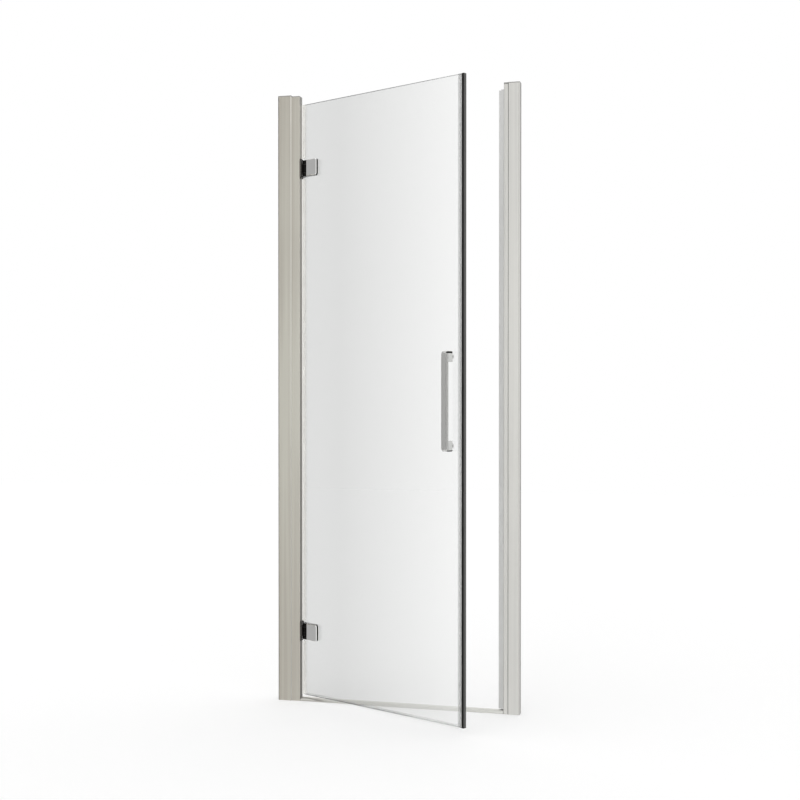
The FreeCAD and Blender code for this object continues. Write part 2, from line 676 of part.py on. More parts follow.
def make_hinge_door_side(prefix, level):
    """The swinging half of a hinge: clamp plates, knuckle ears, pads, screws and pin."""
    hinge_half = "hinge_height / 2"
    screw_heights = ["-clamp_screw_z", "clamp_screw_z"]
    front = Piece(f"{prefix}_front_plate")
    front.pad("XZ_Plane", "clamp_face", "front_plate_thickness",
              [rectangle("plate_from_axis", f"-{hinge_half}", "plate_end", hinge_half)])
    front.round_edges("plate_corner_radius",
                      front.edges("y", x=["plate_end"], z=[f"-{hinge_half}", hinge_half]))
    front.bevel_edges("plate_edge_bevel", front.outer_edges("Y", "-clamp_face - front_plate_thickness"))
    front.pad("XY_Plane", f"-{hinge_half}", "hinge_height",
              [rectangle("plate_from_axis", "-clamp_face - front_plate_thickness / 2",
                         "neck_end", "clamp_face")])
    front.pad("XY_Plane", f"-{hinge_half}", "hinge_height",
              [rectangle("0", "-plate_neck_front", "neck_end", "clamp_face")])
    front.pad("XY_Plane", f"-{hinge_half}", "hinge_height", [circle("0", "0", "knuckle_radius")])
    front.cut("XZ_Plane", "knuckle_radius + cut_overrun", "2 * (knuckle_radius + cut_overrun)",
              [rectangle("-knuckle_radius - cut_overrun", "-ear_start", "neck_start", "ear_start")])
    front.cut("XY_Plane", f"{hinge_half} + cut_overrun", "hinge_height + 2 * cut_overrun",
              [circle("0", "0", "pin_radius + press_gap")])
    front.cut("XZ_Plane", "clamp_face", "clamp_thread_depth",
              circles_up("clamp_screw_u", screw_heights, "clamp_screw_radius + thread_gap"),
              along_normal=True)
    front.at_axis(level, turned=True)

    back = Piece(f"{prefix}_back_plate")
    back_outside = "clamp_face + back_plate_thickness"
    back.pad("XZ_Plane", f"-({back_outside})", "back_plate_thickness",
             [rectangle("neck_start", f"-{hinge_half}", "back_plate_end", hinge_half),
              *circles_up("clamp_screw_u", screw_heights, "clamp_screw_radius + screw_hole_gap")])
    back.round_edges("plate_corner_radius",
                     back.edges("y", x=["back_plate_end"], z=[f"-{hinge_half}", hinge_half]))
    back.bevel_edges("plate_edge_bevel", back.outer_edges("Y", back_outside))
    back.cut("XZ_Plane", "-clamp_head_seat", "clamp_head_depth + cut_overrun",
             circles_up("clamp_screw_u", screw_heights, "clamp_screw_head_radius + head_recess_gap"))
    back.at_axis(level, turned=True)

    gaskets = Piece(f"{prefix}_gaskets")
    pad_half = f"({hinge_half} - gasket_inset)"
    for lift, end in (("glass_half", "plate_end"), ("-clamp_face", "back_plate_end")):
        gaskets.pad("XZ_Plane", lift, "gasket_thickness", [
            rectangle("notch_end", f"-{pad_half}", f"{end} - gasket_inset", pad_half),
            *circles_up("clamp_screw_u", screw_heights, "clamp_hole_radius")])
    gaskets.at_axis(level, turned=True)

    screws = Piece(f"{prefix}_clamp_screws")
    screw_run = "clamp_head_seat + clamp_face + clamp_thread_depth - head_recess_gap"
    screws.pad("XZ_Plane", "-clamp_head_seat", screw_run,
               circles_up("clamp_screw_u", screw_heights, "clamp_screw_radius"))
    screws.pad("XZ_Plane", "-clamp_head_seat - clamp_screw_head_height", "clamp_screw_head_height",
               circles_up("clamp_screw_u", screw_heights, "clamp_screw_head_radius"))
    screws.at_axis(level, turned=True)

    pin = Piece(f"{prefix}_pin")
    pin_half = f"({hinge_half} - pin_end_recess)"
    pin.pad("XY_Plane", f"-{pin_half}", f"2 * {pin_half}", [circle("0", "0", "pin_radius")])
    pin.bevel_edges("pin_end_bevel", pin.outer_edges("Z", f"-{pin_half}", pin_half))
    pin.at_axis(level, turned=True)


def handle_screw_heights():
    return ["handle_level - handle_screw_z", "handle_level + handle_screw_z"]


def make_glass():
    """Toughened pane with a notch at each hinge, clamp holes and handle holes."""
    corners = [("glass_start", "glass_bottom"), ("glass_end", "glass_bottom"),
               ("glass_end", "glass_top"), ("glass_start", "glass_top")]
    holes = circles_up("handle_u", handle_screw_heights(), "handle_hole_radius")
    for level in ("upper_hinge_level", "lower_hinge_level"):
        corners += [("glass_start", f"{level} + notch_half"), ("notch_end", f"{level} + notch_half"),
                    ("notch_end", f"{level} - notch_half"), ("glass_start", f"{level} - notch_half")]
        holes += circles_up("clamp_screw_u", [f"{level} - clamp_screw_z", f"{level} + clamp_screw_z"],
                            "clamp_hole_radius")
    glass = Piece("glass_panel")
    glass.pad("XZ_Plane", "-glass_half", "glass_thickness", [corners, *holes])
    glass.round_edges("notch_corner_radius", glass.edges("y", x=["notch_end"]))
    glass.bevel_edges("glass_arris", glass.outer_edges("Y", "-glass_half", "glass_half"))
    glass.at_axis(turned=True)


def handle_feet(inset):
    """Outlines of the handle's two feet on the glass, drawn in all round by an inset."""
    left = f"handle_u - handle_half + {inset}"
    right = f"handle_u + handle_half - {inset}"
    return [rectangle(left, f"handle_level {sign} (handle_gap_z + {inset})",
                      right, f"handle_level {sign} (handle_length / 2 - {inset})") for sign in "-+"]


def make_handle():
    """Pull handle cut from a bar with rounded corners, and what holds it through the glass."""
    heights = handle_screw_heights()
    lower = "handle_level - handle_length / 2"
    upper = "handle_level + handle_length / 2"
    left = "handle_u - handle_half"
    right = "handle_u + handle_half"
    handle = Piece("handle")
    handle.pad("XZ_Plane", "handle_foot", "handle_front - handle_foot",
               [rectangle(left, lower, right, upper)])
    handle.round_edges("handle_corner_radius", handle.edges("x", y=["-handle_front"], z=[lower, upper]))
    handle.round_edges("handle_edge_round", handle.edges("z", x=[left, right], y=["-handle_front"]))
    handle.cut("YZ_Plane", "handle_u + handle_half + cut_overrun", "handle_width + 2 * cut_overrun", [
        rectangle("-handle_bar_back", "handle_level - handle_gap_z",
                  "cut_overrun - handle_foot", "handle_level + handle_gap_z")])
    handle.cut("XZ_Plane", "handle_foot", "handle_thread_depth",
               circles_up("handle_u", heights, "handle_screw_radius + thread_gap"), along_normal=True)
    handle.at_axis(turned=True)

    gaskets = Piece("handle_gaskets")
    gaskets.pad("XZ_Plane", "glass_half", "handle_gasket", [
        *handle_feet("handle_gasket_inset"), *circles_up("handle_u", heights, "handle_hole_radius")])
    gaskets.round_edges("handle_edge_round - handle_gasket_inset", gaskets.edges(
        "y", x=[f"{left} + handle_gasket_inset", f"{right} - handle_gasket_inset"],
        z=[f"{lower} + handle_gasket_inset", f"{upper} - handle_gasket_inset"]))
    gaskets.pad("XZ_Plane", "-handle_foot", "handle_gasket", [
        *circles_up("handle_u", heights, "handle_washer_radius - handle_gasket_inset"),
        *circles_up("handle_u", heights, "handle_hole_radius")])
    gaskets.at_axis(turned=True)

    sleeves = Piece("handle_sleeves")
    sleeves.pad("XZ_Plane", "-glass_half", "glass_thickness", [
        *circles_up("handle_u", heights, "handle_hole_radius - handle_sleeve_gap"),
        *circles_up("handle_u", heights, "handle_screw_radius + handle_sleeve_gap")])
    sleeves.at_axis(turned=True)

    washers = Piece("handle_washers")
    washers.pad("XZ_Plane", "-washer_back", "handle_washer_thickness", [
        *circles_up("handle_u", heights, "handle_washer_radius"),
        *circles_up("handle_u", heights, "handle_screw_radius + screw_hole_gap")])
    washers.at_axis(turned=True)

    screws = Piece("handle_screws")
    screw_run = "washer_back + handle_foot + handle_thread_depth - head_recess_gap"
    screws.pad("XZ_Plane", "-washer_back", screw_run, circles_up("handle_u", heights, "handle_screw_radius"))
    screws.pad("XZ_Plane", "-washer_back - handle_screw_head_height", "handle_screw_head_height",
               circles_up("handle_u", heights, "handle_screw_head_radius"))
    screws.at_axis(turned=True)

    covers = Piece("handle_screw_covers")
    cover_back = "washer_back + handle_cover_height"
    covers.pad("XZ_Plane", f"-({cover_back})", "handle_cover_height",
               circles_up("handle_u", heights, "handle_washer_radius"))
    covers.round_edges("handle_cover_height * cover_round_share", covers.outer_edges("Y", cover_back))
    covers.cut("XZ_Plane", "-washer_back", "handle_screw_head_height + cover_fit",
               circles_up("handle_u", heights, "handle_screw_head_radius + cover_fit"))
    covers.at_axis(turned=True)


def make_free_edge_seal():
    """Seal clipped to the closing edge, with the magnet strip in the open side of its nose."""
    run = "glass_top - glass_bottom"
    seal = Piece("free_edge_seal")
    seal.pad("XY_Plane", "glass_bottom", run, [
        [("clip_leg_end", "-pocket_half"), ("nose_pocket_back", "-pocket_half"),
         ("nose_pocket_back", "nose_pocket_side"), ("nose_pocket_front", "nose_pocket_side"),
         ("nose_pocket_front", "-pocket_half"), ("nose_tip", "-pocket_half"), ("nose_tip", "pocket_half"),
         ("clip_leg_end", "pocket_half"), ("clip_leg_end", "glass_half"), ("glass_end", "glass_half"),
         ("glass_end", "-glass_half"), ("clip_leg_end", "-glass_half")]])
    seal.at_axis(turned=True)
    magnet = Piece("free_edge_magnet")
    magnet.pad("XY_Plane", "glass_bottom", run, [
        rectangle("nose_pocket_back + magnet_gap", "nose_pocket_side - magnet_gap - magnet_width",
                  "nose_pocket_front - magnet_gap", "nose_pocket_side - magnet_gap")])
    magnet.at_axis(turned=True)


def make_hinge_edge_seal():
    """Clear seal clipped to the hinge edge, its fin close to the post, cut away at the hinges."""
    fin = "edge_fin_thickness / 2"
    seal = Piece("hinge_edge_seal")
    seal.pad("XY_Plane", "glass_bottom", "glass_top - glass_bottom", [[
        ("edge_seal_leg", "glass_half"), ("glass_start", "glass_half"), ("glass_start", "-glass_half"),
        ("edge_seal_leg", "-glass_half"), ("edge_seal_leg", "-edge_seal_half"),
        ("edge_seal_web", "-edge_seal_half"), ("edge_seal_web", f"-{fin}"), ("edge_fin_tip", f"-{fin}"),
        ("edge_fin_tip", fin), ("edge_seal_web", fin), ("edge_seal_web", "edge_seal_half"),
        ("edge_seal_leg", "edge_seal_half")]])
    reach = "edge_seal_half + cut_overrun"
    seal.cut("XZ_Plane", reach, f"2 * ({reach})", [
        rectangle("edge_fin_tip - cut_overrun", f"{level} - edge_cut_half",
                  "edge_seal_leg + cut_overrun", f"{level} + edge_cut_half")
        for level in ("lower_hinge_level", "upper_hinge_level")])
    seal.at_axis(turned=True)


def make_drip_seal():
    """Clear wiper under the glass: a fin over the threshold and a drip rail on the shower side."""
    fin = "drip_wall / 2"
    leg_top = "glass_bottom + drip_leg_height"
    rail = "drip_half + drip_rail_reach"
    seal = Piece("drip_seal")
    seal.pad("YZ_Plane", "drip_start", "drip_end - drip_start", [[
        ("-drip_half", "drip_web"), (f"-{fin}", "drip_web"), (f"-{fin}", "drip_fin_bottom"),
        (fin, "drip_fin_bottom"), (fin, "drip_web"), ("glass_half", "drip_web"),
        (rail, "drip_rail_bottom"), (rail, "drip_rail_bottom + drip_wall"), ("drip_half", "glass_bottom"),
        ("drip_half", leg_top), ("glass_half", leg_top), ("glass_half", "glass_bottom"),
        ("-glass_half", "glass_bottom"), ("-glass_half", leg_top), ("-drip_half", leg_top)]])
    seal.at_axis(turned=True)


make_wall_channel("hinge_wall_channel", HINGE_SIDE)
make_wall_channel("strike_wall_channel", STRIKE_SIDE)
make_hinge_post()
make_strike_post()
for side_name, frame_side in (("hinge", HINGE_SIDE), ("strike", STRIKE_SIDE)):
    make_channel_cap(f"{side_name}_channel_cap", frame_side)
    make_post_cap(f"{side_name}_post_cap", frame_side)
    make_lock_screws(f"{side_name}_side_lock_screws", frame_side)
    make_screw_covers(f"{side_name}_side_screw_covers", frame_side)
make_threshold()
make_strike_seal()
for hinge_name in ("lower_hinge", "upper_hinge"):
    make_hinge_wall_side(hinge_name, f"{hinge_name}_level")
    make_hinge_door_side(hinge_name, f"{hinge_name}_level")
make_glass()
make_handle()
make_free_edge_seal()
make_hinge_edge_seal()
make_drip_seal()

doc.recompute()
for item in doc.Objects:
    if "Invalid" in item.State or "Error" in item.State:
        raise RuntimeError(f"{item.Label} failed: {item.State}")
for body in Piece.made:
    if body.Shape.isNull() or not body.Shape.isValid():
        raise RuntimeError(f"{body.Label} has no valid shape")

os.makedirs("parts", exist_ok=True)
for body in Piece.made:
    body.Shape.exportStep(f"parts/{body.Label}.step")
    print(f"{body.Label}: {len(body.Shape.Solids)} solids, {body.Shape.Volume:.0f} mm3")
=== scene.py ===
# %% [markdown]
# # Dressing a hinged shower door
# The door comes as a packed frame: every rigid piece is already there at its real size, in metres. This
# lesson adds what a picture needs. We set the camera and a white studio, write a finish for each material,
# press the soft seals out of their sections and put real sockets on the screws that show.

# %% Load the packed door
import json
import math
import bpy
from mathutils import Matrix, Vector


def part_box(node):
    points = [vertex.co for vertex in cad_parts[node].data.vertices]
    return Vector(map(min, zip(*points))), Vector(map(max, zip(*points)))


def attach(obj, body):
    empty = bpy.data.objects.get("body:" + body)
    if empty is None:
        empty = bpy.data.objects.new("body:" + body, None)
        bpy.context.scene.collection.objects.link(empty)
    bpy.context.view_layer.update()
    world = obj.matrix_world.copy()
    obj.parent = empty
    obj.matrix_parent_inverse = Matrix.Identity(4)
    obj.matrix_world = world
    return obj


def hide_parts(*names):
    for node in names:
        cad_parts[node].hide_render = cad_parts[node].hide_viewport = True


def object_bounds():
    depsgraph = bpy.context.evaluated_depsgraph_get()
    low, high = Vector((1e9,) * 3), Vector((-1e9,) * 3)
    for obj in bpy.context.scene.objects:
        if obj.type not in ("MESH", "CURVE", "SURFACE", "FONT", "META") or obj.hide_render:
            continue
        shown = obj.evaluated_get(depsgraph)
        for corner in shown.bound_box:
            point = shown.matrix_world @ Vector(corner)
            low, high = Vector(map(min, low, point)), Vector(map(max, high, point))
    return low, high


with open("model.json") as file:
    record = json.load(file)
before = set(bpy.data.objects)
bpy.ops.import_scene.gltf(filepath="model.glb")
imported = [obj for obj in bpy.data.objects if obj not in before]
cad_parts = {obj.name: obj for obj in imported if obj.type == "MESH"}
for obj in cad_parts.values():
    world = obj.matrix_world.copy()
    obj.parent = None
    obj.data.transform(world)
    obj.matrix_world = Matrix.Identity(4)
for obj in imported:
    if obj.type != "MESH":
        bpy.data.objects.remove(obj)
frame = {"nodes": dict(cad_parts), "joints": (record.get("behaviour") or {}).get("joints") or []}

cad_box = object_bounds()
scene = bpy.context.scene
scene.view_settings.view_transform = "Standard"

# %% [markdown]
# ## The door's own axes
# A swinging door is easiest to describe as if it were shut: u runs along the glass from the hinge pins, v
# points into the shower and z is up. The joint in the record says where the pins stand and how far the
# door is turned open at rest, so one matrix takes us from those axes to the scene.

# %% The matrix that turns the door open
swing = frame["joints"][0]
hinge_axis = Vector(swing["pos_m"])
open_angle = -math.radians(swing["range_deg"][0])
door_place = Matrix.Translation((hinge_axis.x, hinge_axis.y, 0)) @ Matrix.Rotation(-open_angle, 4, "Z")


def box_along(place, node):
    """Lowest and highest corner of a node in the axes of a matrix."""
    inward = place.inverted()
    points = [inward @ vertex.co for vertex in frame["nodes"][node].data.vertices]
    low = Vector([min(point[i] for point in points) for i in range(3)])
    high = Vector([max(point[i] for point in points) for i in range(3)])
    return low, high


def door_box(node):
    """Lowest and highest corner of a node in u, v and z."""
    return box_along(door_place, node)


glass_low, glass_high = door_box("glass_panel")
print("glass:", [round(size, 4) for size in glass_high - glass_low], "open", round(math.degrees(open_angle)))

# %% [markdown]
# ## The camera
# The picture was taken from the right of the doorway at about half the door's height, with a longish lens,
# so that the posts stay upright. The numbers come from lining up the posts, the corners of the glass and
# the handle. Nothing is shifted and everything is sharp, as in a catalogue picture.

# %% Place the camera
CAMERA_PLACE = (0.947, -3.699, 0.979)
CAMERA_TURN = math.radians(14.23)
CAMERA_DIP = math.radians(0.493)
LENS_MM = 55.70
SENSOR_MM = 36


def add_object(name, data):
    made = bpy.data.objects.new(name, data)
    scene.collection.objects.link(made)
    return made


camera = add_object("camera", bpy.data.cameras.new("camera"))
camera.data.lens = LENS_MM
camera.data.sensor_width = SENSOR_MM
camera.location = CAMERA_PLACE
camera.rotation_euler = (math.pi / 2 - CAMERA_DIP, 0, CAMERA_TURN)
scene.camera = camera
print("camera", [round(value, 3) for value in camera.location], "lens", LENS_MM)

# %% [markdown]
# ## Node maths in Python
# Blender builds a finish from nodes. Written one by one they are hard to read, so a small class wraps an
# output socket. Its operators add Math nodes, and its one method `node` adds any other node from its type,
# its settings and the values or wires for its sockets. The same class builds Geometry Nodes later on.

# %% A wire between nodes


class Wire:
    """An output socket in a node tree, with Python's operators for the maths on it."""

    def __init__(self, tree, socket=None):
        self.tree = tree
        self.socket = socket

    def node(self, kind, settings=None, inputs=None, output=0):
        """Add a node. A list of wires goes into a socket that takes several."""
        made = self.tree.nodes.new(kind)
        for name, setting in (settings or {}).items():
            setattr(made, name, setting)
        for key, given in (inputs or {}).items():
            for wire in given if isinstance(given, list) else [given]:
                if isinstance(wire, Wire):
                    self.tree.links.new(wire.socket, made.inputs[key])
                else:
                    made.inputs[key].default_value = wire
        return Wire(self.tree, made.outputs[output] if made.outputs else None)

    def maths(self, operation, *values):
        return self.node("ShaderNodeMath", {"operation": operation}, dict(enumerate(values)))

    def __add__(self, other):
        return self.maths("ADD", self, other)

    def __sub__(self, other):
        return self.maths("SUBTRACT", self, other)

    def __rsub__(self, other):
        return self.maths("SUBTRACT", other, self)

    def __mul__(self, other):
        return self.maths("MULTIPLY", self, other)

    def __truediv__(self, other):
        return self.maths("DIVIDE", self, other)

    def __pow__(self, other):
        return self.maths("POWER", self, other)

    def __lt__(self, other):
        return self.maths("LESS_THAN", self, other)

    def __or__(self, other):
        return self.maths("MAXIMUM", self, other)

    def __abs__(self):
        return self.maths("ABSOLUTE", self)

    __radd__ = __add__
    __rmul__ = __mul__


def seen_ray(wire):
    """1 for rays that look at something: straight, by reflection or through glass."""
    names = ("Is Camera Ray", "Is Glossy Ray", "Is Transmission Ray")
    straight, mirrored, through = [wire.node("ShaderNodeLightPath", output=name) for name in names]
    return straight | mirrored | through


print("wire operators:", [name for name in vars(Wire) if name.startswith("__")])

# %% [markdown]
# ## A white studio
# Metal and glass are only as good as what they mirror. The world is plain white for every ray that looks at
# it and a little weaker as light, so that a colour renders about as it is written. The floor is pale too: it
# glows just enough to meet the white behind it, and what is left of its shading keeps the door's shadow.

# %% World and floor
WORLD_LIGHT = 0.75
FLOOR_HALF = 8.0
FLOOR_DROP = 0.0004
FLOOR_COLOUR = (0.6, 0.6, 0.6, 1)
FLOOR_GLOW = 0.44
WHITE = (1, 1, 1, 1)


def white_world():
    world = bpy.data.worlds.new("studio")
    world.use_nodes = True
    world.node_tree.nodes.clear()
    wire = Wire(world.node_tree)
    light = wire.node("ShaderNodeBackground", inputs={"Color": WHITE, "Strength": WORLD_LIGHT})
    backdrop = wire.node("ShaderNodeBackground", inputs={"Color": WHITE, "Strength": 1})
    mixed = wire.node("ShaderNodeMixShader", inputs={0: seen_ray(wire), 1: light, 2: backdrop})
    wire.node("ShaderNodeOutputWorld", inputs={"Surface": mixed})
    return world


def new_finish(name):
    """An empty material and a wire to build its nodes with."""
    material = bpy.data.materials.new(name)
    material.use_nodes = True
    material.node_tree.nodes.clear()
    return material, Wire(material.node_tree)


def floor_finish():
    material, wire = new_finish("pale_floor")
    paint = wire.node("ShaderNodeBsdfDiffuse", inputs={"Color": FLOOR_COLOUR})
    glow = wire.node("ShaderNodeEmission", inputs={"Color": WHITE, "Strength": seen_ray(wire) * FLOOR_GLOW})
    both = wire.node("ShaderNodeAddShader", inputs={0: paint, 1: glow})
    wire.node("ShaderNodeOutputMaterial", inputs={"Surface": both})
    return material


def mesh_of(name, points, edges, faces):
    mesh = bpy.data.meshes.new(name)
    mesh.from_pydata(points, edges, faces)
    return mesh


scene.world = white_world()
corner_signs = ((-1, -1), (1, -1), (1, 1), (-1, 1))
floor_corners = [(x * FLOOR_HALF, y * FLOOR_HALF, -FLOOR_DROP) for x, y in corner_signs]
floor = add_object("studio_floor", mesh_of("studio_floor", floor_corners, [], [(0, 1, 2, 3)]))
floor.data.materials.append(floor_finish())
floor.visible_glossy = False
print("floor", 2 * FLOOR_HALF, "m wide, world light", WORLD_LIGHT)

# %% [markdown]
# ## Cards for the reflections
# In an all-white room chrome would look like white paint. A photographer stands grey and dark cards round
# the set, out of the picture, and they draw the edges of the metal. Here they are one tall ring, whose shade
# is written at a few compass angles and blends between them. Only reflections see it, so it casts no shadow
# and hides nothing, and the floor leaves the reflections to it.

# %% Stand the cards round the door
CARD_STEP = 3.0
RING_RADIUS = 5.0
RING_LOW = -4.0
RING_HIGH = 6.5
# Compass angles in degrees, from +X towards +Y, and the brightness there
RING_SHADES = [
    (0, 0.8), (40, 0.8), (66, 0.8), (68, 0.1), (75.3, 0.1), (75.7, 0.5), (80, 0.7), (88, 1.0), (95, 1.4),
    (128, 1.4), (132, 0.08), (194, 0.08), (198, 0.46), (201.4, 0.42), (203, 0.33), (212.4, 1.75),
    (213.6, 1.75), (214, 0.06), (239, 0.06), (244, 0.95), (262, 1.15), (300, 1.0), (324, 1.2), (350, 1.1),
    (360, 0.8),
]


def card_finish():
    material, wire = new_finish("studio_cards")
    shade = wire.node("ShaderNodeAttribute", {"attribute_name": "shade"}, output="Fac")
    glow = wire.node("ShaderNodeEmission", inputs={"Color": WHITE, "Strength": shade})
    wire.node("ShaderNodeOutputMaterial", inputs={"Surface": glow})
    return material


def card_columns(written):
    """Angle and shade of each upright edge of a card, with small steps between the written ones."""
    columns = []
    for (start, start_shade), (stop, stop_shade) in zip(written, written[1:]):
        steps = math.ceil((stop - start) / CARD_STEP)
        for step in range(steps):
            share = step / steps
            angle = start + (stop - start) * share
            shade = start_shade + (stop_shade - start_shade) * share
            columns.append((angle, shade))
    return columns + [written[-1]]


points, shades = [], []
for angle, shade in card_columns(RING_SHADES):
    across = Vector((math.cos(math.radians(angle)), math.sin(math.radians(angle)), 0)) * RING_RADIUS
    points += [across + Vector((0, 0, level)) for level in (RING_LOW, RING_HIGH)]
    shades += [shade, shade]
faces = [(foot, foot + 1, foot + 3, foot + 2) for foot in range(0, len(points) - 2, 2)]
ring = add_object("card_ring", mesh_of("card_ring", points, [], faces))
ring.data.attributes.new("shade", "FLOAT", "POINT").data.foreach_set("value", shades)
ring.data.materials.append(card_finish())
for ray in ("camera", "diffuse", "transmission", "volume_scatter", "shadow"):
    setattr(ring, f"visible_{ray}", False)
print("card columns:", len(points) // 2)

# %% [markdown]
# ## Soft lamps
# Two very wide suns give the plastic and the floor a gentle direction, the stronger one from the front left.
# A sun lights the whole floor evenly, so the floor stays the same white near the door and far away.

# %% Hang the lamps
# Each sun's tilt from overhead and compass turn in degrees, its strength and the angle that it fills
LAMPS = {
    "front_sun": (42, -38, 0.55, 70),
    "back_sun": (48, 150, 0.30, 70),
}
for lamp_name, (lamp_tilt, lamp_turn, lamp_strength, lamp_angle) in LAMPS.items():
    lamp = add_object(lamp_name, bpy.data.lights.new(lamp_name, "SUN"))
    lamp.data.energy = lamp_strength
    lamp.data.angle = math.radians(lamp_angle)
    lamp.rotation_euler = (math.radians(lamp_tilt), 0, math.radians(lamp_turn))
print("lamps:", ", ".join(LAMPS))

# %% [markdown]
# ## Tools for a finish
# Every finish below is one Principled shader, so a few tools serve them all: a noise on the piece's own
# coordinates, a blend of two colours, a shallow bump, and a measure of how squarely a face points along a
# direction. Coordinates and directions belong to the piece, so a pattern stays in its place when the door
# swings.

# %% Noise, blend, bump and facing
NOISE_DETAIL = 2.0
X_AXIS, Z_AXIS = 0, 2
# The Mix node's sockets for colours
MIX_SHARE, MIX_FIRST, MIX_SECOND, MIX_RESULT = 0, 6, 7, 2


def principled(material, wire, sockets):
    """End a material in one shader, given what feeds its sockets."""
    shader = wire.node("ShaderNodeBsdfPrincipled", inputs=sockets)
    wire.node("ShaderNodeOutputMaterial", inputs={"Surface": shader})
    return material


def object_place(wire):
    return wire.node("ShaderNodeTexCoord", output="Object")


def place_along(wire, way):
    """How far a point of the piece lies along X, Y or Z."""
    return wire.node("ShaderNodeSeparateXYZ", inputs={"Vector": object_place(wire)}, output=way)


def vector_maths(wire, operation, first, second, output="Value"):
    return wire.node("ShaderNodeVectorMath", {"operation": operation}, {0: first, 1: second}, output)


def object_noise(wire, fineness, detail=NOISE_DETAIL):
    """Noise on the piece's own coordinates, with its own fineness along each axis."""
    fine = wire.node("ShaderNodeMapping", inputs={"Vector": object_place(wire), "Scale": fineness})
    return wire.node("ShaderNodeTexNoise", inputs={"Vector": fine, "Scale": 1, "Detail": detail})


def drawn_along(axis, along, across):
    """Noise fineness for something drawn out along one axis, which is given by its number."""
    return tuple(along if number == axis else across for number in range(3))


def blend(wire, share, first, second):
    """A colour between two others, which may be wires."""
    sockets = {MIX_SHARE: share, MIX_FIRST: first, MIX_SECOND: second}
    return wire.node("ShaderNodeMix", {"data_type": "RGBA"}, sockets, MIX_RESULT)


def bumped(wire, height, strength, distance):
    return wire.node("ShaderNodeBump", inputs={"Height": height, "Strength": strength, "Distance": distance})


def facing(wire, direction):
    """1 where a face points along a direction of the piece or against it, and 0 where it is square to it."""
    normal = wire.node("ShaderNodeTexCoord", output="Normal")
    return abs(vector_maths(wire, "DOT_PRODUCT", normal, direction))


print("tools:", ", ".join(tool.__name__ for tool in (object_noise, blend, bumped, facing)))

# %% [markdown]
# ## Satin aluminium
# The channels, posts and threshold are aluminium extrusions. The press leaves faint lines along their length,
# and the satin anodising turns them into a soft streak. We stretch a noise along the extrusion and use it for
# roughness and a very shallow bump. A wider one and a slow drift move the colour between a darker and a
# lighter grey, which is warmer at the hinge side. A painted highlight makes it lightest half-way up. Some
# faces get painted light and shade: a painted highlight on the hinge channel's bevel, painted shade on the
# hinge post's side in front of a painted highlight strip, and painted shade on the strike channel's bevel
# and along its outer edge. Each upright has its own painted marks, told by the way that a face points, and
# most of them grow lighter from the foot to the top.

# %% Write the aluminium
# A darker and a lighter streak at the hinge side and at the strike side
UPRIGHT_STREAKS = (
    ((0.585, 0.553, 0.485, 1), (0.71, 0.694, 0.612, 1)),
    ((0.61, 0.605, 0.58, 1), (0.68, 0.675, 0.645, 1)),
)
LEVEL_STREAKS = (
    ((0.56, 0.545, 0.51, 1), (0.66, 0.65, 0.61, 1)),
    ((0.60, 0.60, 0.57, 1), (0.70, 0.70, 0.67, 1)),
)
# Noise fineness along the extrusion and across it
PRESS_LINES = (1.5, 900)
STREAK_BANDS = (0.9, 110)
DRIFT_FINENESS = (2, 2, 2)
# What lightens the colour, and how much; the middle one is a painted highlight
BANDS_LIGHTEN = 2.0
DRIFT_LIGHTENS = 1.2
MIDDLE_PAINTED_HIGHLIGHT = 0.7
ALL_DARKEN = 1.4
SATIN_ROUGHNESS = 0.32
LINES_ROUGHEN = 0.14
LINE_BUMP = 0.12
LINE_DEPTH = 0.0002
SIDE = Vector((1, 0, 0))
FRONT = Vector((0, 1, 0))
HINGE_BEVEL = Vector((1, -1, 0)).normalized()
STRIKE_BEVEL = Vector((-1, -1, 0)).normalized()
# Width of the painted shade along the strike channel's outer edge
PAINTED_SHADE_EDGE_WIDTH = 0.0043
# Where a painted mark begins: an axis and the place on it
ALL_DEPTH = ("Y", cad_box[0].y)
# Beyond this depth the hinge post's side gets a painted highlight strip
PAINTED_HIGHLIGHT_STRIP = ("Y", 0.011)
PAINTED_SHADE_EDGE = ("X", cad_box[1].x - PAINTED_SHADE_EDGE_WIDTH)
# Painted marks of light and shade: the way that the face points, where they begin, lightness at foot and top
PAINTED_LIGHT_MARKS = {
    # A painted highlight on the hinge channel's bevel, lighter towards the top
    "hinge_wall_channel": [(HINGE_BEVEL, ALL_DEPTH, 0.46, 0.84)],
    # Painted shade on the hinge post's side, lighter towards the top, and a painted highlight strip behind it
    "hinge_post": [(SIDE, ALL_DEPTH, 0.21, 0.47), (SIDE, PAINTED_HIGHLIGHT_STRIP, 0.95, 0.95)],
    # Painted shade on the strike channel's bevel, and along its outer edge
    "strike_wall_channel": [(STRIKE_BEVEL, ALL_DEPTH, 0.03, 0.15), (FRONT, PAINTED_SHADE_EDGE, 0.46, 0.46)],
    "strike_post": [],
}
MARK_WITHIN = 0.03
# The darkest painted shade and the lightest painted highlight that a mark blends between
BLACK = (0, 0, 0, 1)
WARM_WHITE = (1, 0.98, 0.92, 1)


